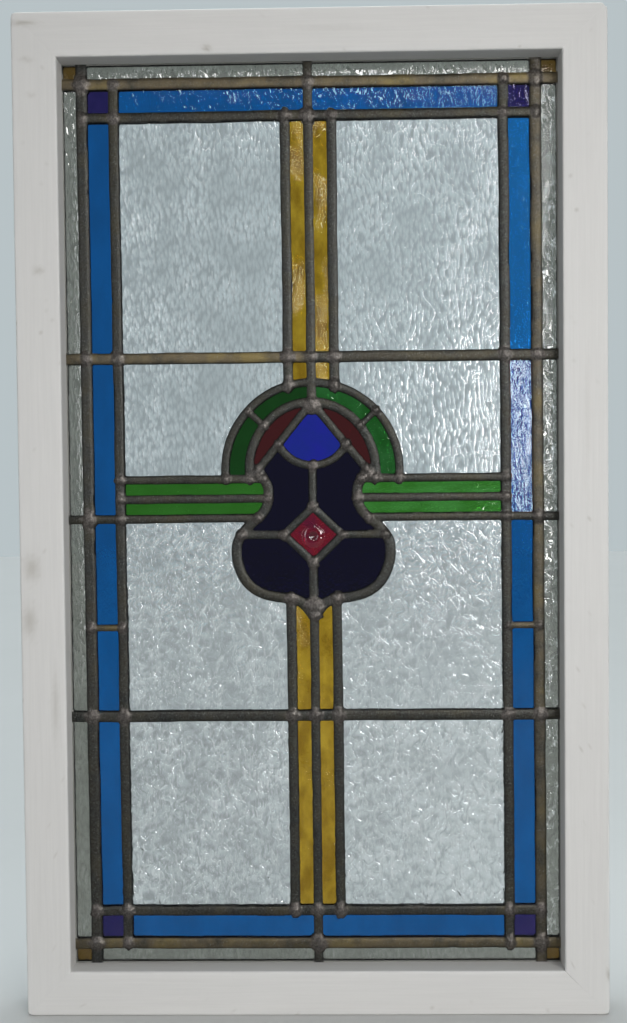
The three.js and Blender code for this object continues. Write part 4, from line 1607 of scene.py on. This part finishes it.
def build_coloured_glass():
    """The panes of the borders, stripes and motif, family by family."""
    choice = settings().glass
    blue, lively, reflection_blue = blue_glasses(choice)
    green, right_lit_green, deep, sunlit = green_glasses(choice)
    amber = glass_material(
        "amber_glass", (0.36, 0.20, 0.006), 0.05, 0.0009, 430.0,
        streak=tuple(choice.amber), stretch=(1.4, 1.0, 0.8), patches=26.0,
    )
    purple = glass_material(
        "purple_glass", tuple(choice.purple), 0.06, 0.0002, 260.0, streak=(0.012, 0.010, 0.10), mirror=0.35,
    )
    red = glass_material("dark_red_glass", tuple(choice.dark_red), 0.05, 0.0003, 260.0, mirror=0.3)
    cobalt = glass_material(
        "cobalt_glass", tuple(choice.cobalt), 0.05, 0.0001, 320.0, streak=(0.014, 0.034, 0.36), mirror=0.35,
    )
    navy = glass_material("navy_glass", tuple(choice.navy), 0.05, 0.00006, 300.0, mirror=0.2)
    # The right arms and arch take the painted-lit greens; the right border pane takes the painted reflection
    # blue
    special = {
        "blue_border_side_2_right": lively,
        "blue_border_top_right": lively,
        "blue_border_top_left": lively,
        "blue_border_side_1_right": reflection_blue,
        "green_arm_upper_right": right_lit_green,
        "green_arm_lower_right": right_lit_green,
        "green_arch_high_right": sunlit,
        "green_arch_low_right": sunlit,
    }
    sides = [f"blue_border_side_{k}" for k in range(1, 6)]
    stripes = ["amber_stripe_upper", "amber_tip", "amber_stripe_middle", "amber_stripe_lower"]
    # Names, glass, slot, height of the waves, their length across and up, and size of a mesh cell
    families = [
        (["blue_border_top", "blue_border_bottom"], blue, "blue_glass", 0.05, 12.0, 12.0, 1.8),
        (sides, blue, "blue_glass", 0.05, 12.0, 16.0, 1.8),
        (["purple_corner_top", "purple_corner_bottom"], purple, "purple_glass", 0.05, 9.0, 9.0, 1.6),
        (stripes, amber, "amber_glass", 0.20, 5.0, 9.0, 1.3),
        (["green_arm_upper", "green_arm_lower"], green, "green_glass", 0.06, 9.0, 5.0, 1.4),
        (["green_arch_low", "green_arch_high"], deep, "green_glass", 0.07, 6.0, 6.0, 1.0),
        (["red_crescent"], red, "dark_red_glass", 0.05, 6.0, 6.0, 1.0),
        (["navy_upper", "navy_lower"], navy, "navy_glass", 0.025, 12.0, 12.0, 1.2),
    ]
    seed = 600
    for stems, usual, slot, height, length_x, length_z, step in families:
        for node in [f"{stem}_{side}" for stem in stems for side in ("left", "right")]:
            relief = soft_relief(height, seed, length_x, length_z, LEANING.get(node, 0.0))
            material = special.get(node, usual)
            make_pane(f"glass_{node}", [node], pane_outline(node), step, relief, material)
            seed += SEED_STEP
    relief = soft_relief(0.03, seed, 7.0, 7.0)
    make_pane("glass_blue_fan", ["blue_fan"], pane_outline("blue_fan"), 1.0, relief, cobalt)


# The boss of the ruby diamond, in millimetres
BOSS_RADIUS = 8.0
BOSS_RISE = 1.5
BOSS_DROP = 1.0
DIMPLE_RADIUS = 2.6


def ruby_material():
    """Ruby glass, with painted shade where the boss is deep and round its edge."""
    material, tree, shader = glass_shader("ruby_glass", 0.03)
    space = object_space(tree)
    wisps = remap(tree, noise(tree, space, 120.0, 3.0, 0.6), 0.35, 0.65)
    tone = mix_colour(tree, wisps, tuple(settings().glass.ruby), (0.17, 0.002, 0.035))
    # Painted shade: the depth mark darkens the dimple and a ring round the boss
    tone = mix_colour(tree, attribute(tree, "depth"), tone, (0.035, 0.002, 0.006))
    tree.links.new(tone, shader.inputs["Base Color"])
    shader.inputs["Coat Weight"].default_value = 0.5
    shader.inputs["Coat Roughness"].default_value = 0.03
    bump(tree, shader, noise(tree, space, 520.0, 2.0, 0.5), 0.00006)
    return material


def build_jewel():
    """The ruby diamond: a round boss with a dimple, with painted shade in the dimple and round the boss's
    edge.
    """
    crumble = LatticeNoise(90, 2.4)
    drift = LatticeNoise(91, 5.0)

    def from_boss(x, z):
        return np.hypot(x - 0.6 * drift(x, z), z - DIAMOND_Z + BOSS_DROP + 0.6 * drift(z, x))

    def relief(x, z):
        r = from_boss(x, z)
        boss = BOSS_RISE * np.sqrt(np.clip(1 - (r / BOSS_RADIUS) ** 2, 0.0, 1.0))
        dimple = -BOSS_RISE * np.exp(-((r / DIMPLE_RADIUS) ** 2))
        return boss + dimple + 0.09 * crumble(x, z)

    node = "red_diamond"
    outline = pane_outline(node)
    piece = make_pane(f"glass_{node}", [node], outline, 0.45, relief, ruby_material())
    places = piece_points(piece)
    r = from_boss(places[:, 0], places[:, 2])
    # Painted shade: where the depth mark darkens the glass
    ring = np.exp(-(((r - BOSS_RADIUS + 0.4) / 0.8) ** 2))
    add_attribute(piece, "depth", 0.9 * smoothstep(4.6, DIMPLE_RADIUS, r) + 0.45 * ring)


# Camera of the photograph: metres, degrees, photo pixels, and millimetres for the sensor
CAMERA_PLACE = (0.01675, -0.8722, 0.39111)
CAMERA_TURN = (88.212, 0.566, 1.057)
FOCAL_PIXELS = 1200.0
PHOTO_LONG_SIDE = 1023.0
SENSOR = 36.0


def area_light(name, place, target, width, height, power, spread, colour=(1.0, 0.99, 0.98)):
    """An oblong light that faces its target. Sizes are in metres and the spread in degrees."""
    data = bpy.data.lights.new(name, "AREA")
    data.shape = "RECTANGLE"
    data.size = width
    data.size_y = height
    data.energy = power
    data.spread = math.radians(spread)
    data.color = colour
    light = bpy.data.objects.new(name, data)
    light.location = place
    light.rotation_euler = (Vector(target) - Vector(place)).to_track_quat("-Z", "Y").to_euler()
    bpy.context.scene.collection.objects.link(light)


def studio_world():
    """Soft light all round: bright behind the window, dim in front of it."""
    choice = settings().studio
    world = bpy.data.worlds.new("studio")
    bpy.context.scene.world = world
    world.use_nodes = True
    tree = world.node_tree
    background = tree.nodes["Background"]
    coordinates = tree.nodes.new("ShaderNodeTexCoord")
    split = tree.nodes.new("ShaderNodeSeparateXYZ")
    tree.links.new(coordinates.outputs["Generated"], split.inputs["Vector"])
    behind = remap(tree, split.outputs["Y"], -0.35, 0.45)
    tone = mix_colour(tree, behind, tuple(choice.front_glow), tuple(choice.back_glow))
    tree.links.new(tone, background.inputs["Color"])


def studio_floor():
    """A plain pale floor, in metres."""
    colour = settings().studio.floor
    side, near, far = 5.0, -3.0, 5.0
    corners = [(-side, near, 0.0), (side, near, 0.0), (side, far, 0.0), (-side, far, 0.0)]
    floor = new_piece("studio_floor", corners, [(0, 1, 2, 3)])
    material, tree, shader = new_material("pale_floor")
    patches = noise(tree, object_space(tree), 3.0, 2.0, 0.5)
    tone = mix_colour(tree, patches, shade(colour, 0.97), shade(colour, 1.03))
    tree.links.new(tone, shader.inputs["Base Color"])
    shader.inputs["Roughness"].default_value = 0.85
    floor.data.materials.append(material)


def studio_lights():
    """The lights in front of the window, and the one over the floor behind it."""
    choice = settings().studio
    aim = (0.0, 0.0, 0.42 * FRAME_TOP * MM)
    behind = 2.55
    warm = (1.0, 0.985, 0.96)
    cool = (0.97, 0.98, 1.0)
    sky = (0.896, 0.99, 1.03)
    area_light("key", (1.25, -1.9, 1.0), aim, 0.9, 0.9, choice.key_power, 80.0, warm)
    area_light("fill", (-1.05, -2.0, 0.62), aim, 0.5, 1.15, choice.fill_power, 80.0, cool)
    area_light("sheen", (0.70, -2.1, 0.50), aim, 0.16, 0.50, choice.sheen_power, 60.0)
    area_light("strip", (0.635, -2.1, 0.86), aim, 0.025, 1.6, choice.strip_power, 60.0)
    area_light("glint", (0.06, -1.9, 1.38), aim, 0.42, 0.10, choice.glint_power, 60.0)
    area_light(
        "overhead", (0.0, behind, 1.9), (0.0, behind, 0.0), 10.5, 5.2, choice.overhead_power, 14.0, sky,
    )


def studio_camera():
    """A camera at the photograph's place and angle."""
    data = bpy.data.cameras.new("photo_camera")
    data.sensor_fit = "AUTO"
    data.sensor_width = SENSOR
    data.lens = FOCAL_PIXELS / PHOTO_LONG_SIDE * SENSOR
    data.clip_start = 0.01
    data.clip_end = 50.0
    camera = bpy.data.objects.new("photo_camera", data)
    camera.location = CAMERA_PLACE
    camera.rotation_euler = Euler([math.radians(a) for a in CAMERA_TURN], "XYZ")
    bpy.context.scene.collection.objects.link(camera)
    bpy.context.scene.camera = camera


def build_studio():
    """World, floor, lights and camera."""
    studio_world()
    studio_floor()
    studio_lights()
    studio_camera()
    bpy.context.scene.view_settings.view_transform = "Standard"


class LW_PT_window(bpy.types.Panel):
    """Lists the steps that build the window"""

    bl_label = "Leaded Window"
    bl_idname = "LW_PT_window"
    bl_space_type = "VIEW_3D"
    bl_region_type = "UI"
    bl_category = "Leaded Window"

    def draw(self, context):
        layout = self.layout
        for operator in STEPS:
            layout.operator(operator.bl_idname)
        for group in ("paint", "lead", "glass", "studio"):
            values = getattr(context.scene.leaded_window, group)
            box = layout.box()
            for name in values.__annotations__:
                box.prop(values, name)


STEPS = (
    LW_OT_studio,
    LW_OT_timber_frame,
    LW_OT_putty,
    LW_OT_leadwork,
    LW_OT_clear_glass,
    LW_OT_coloured_glass,
    LW_OT_jewel,
)
CLASSES = (
    FramePaintSettings,
    LeadSettings,
    GlassSettings,
    StudioSettings,
    WindowSettings,
    *STEPS,
    LW_PT_window,
)


def register():
    """Registers the settings, the operators and the panel."""
    for item in CLASSES:
        bpy.utils.register_class(item)
    bpy.types.Scene.leaded_window = PointerProperty(type=WindowSettings)


def unregister():
    """Takes them away again."""
    del bpy.types.Scene.leaded_window
    for item in reversed(CLASSES):
        bpy.utils.unregister_class(item)


def main():
    """Builds the studio and every piece."""
    register()
    bpy.ops.leaded_window.studio()
    bpy.ops.leaded_window.timber_frame()
    bpy.ops.leaded_window.putty()
    bpy.ops.leaded_window.leadwork()
    bpy.ops.leaded_window.clear_glass()
    bpy.ops.leaded_window.coloured_glass()
    bpy.ops.leaded_window.jewel()


if __name__ == "__main__":
    main()
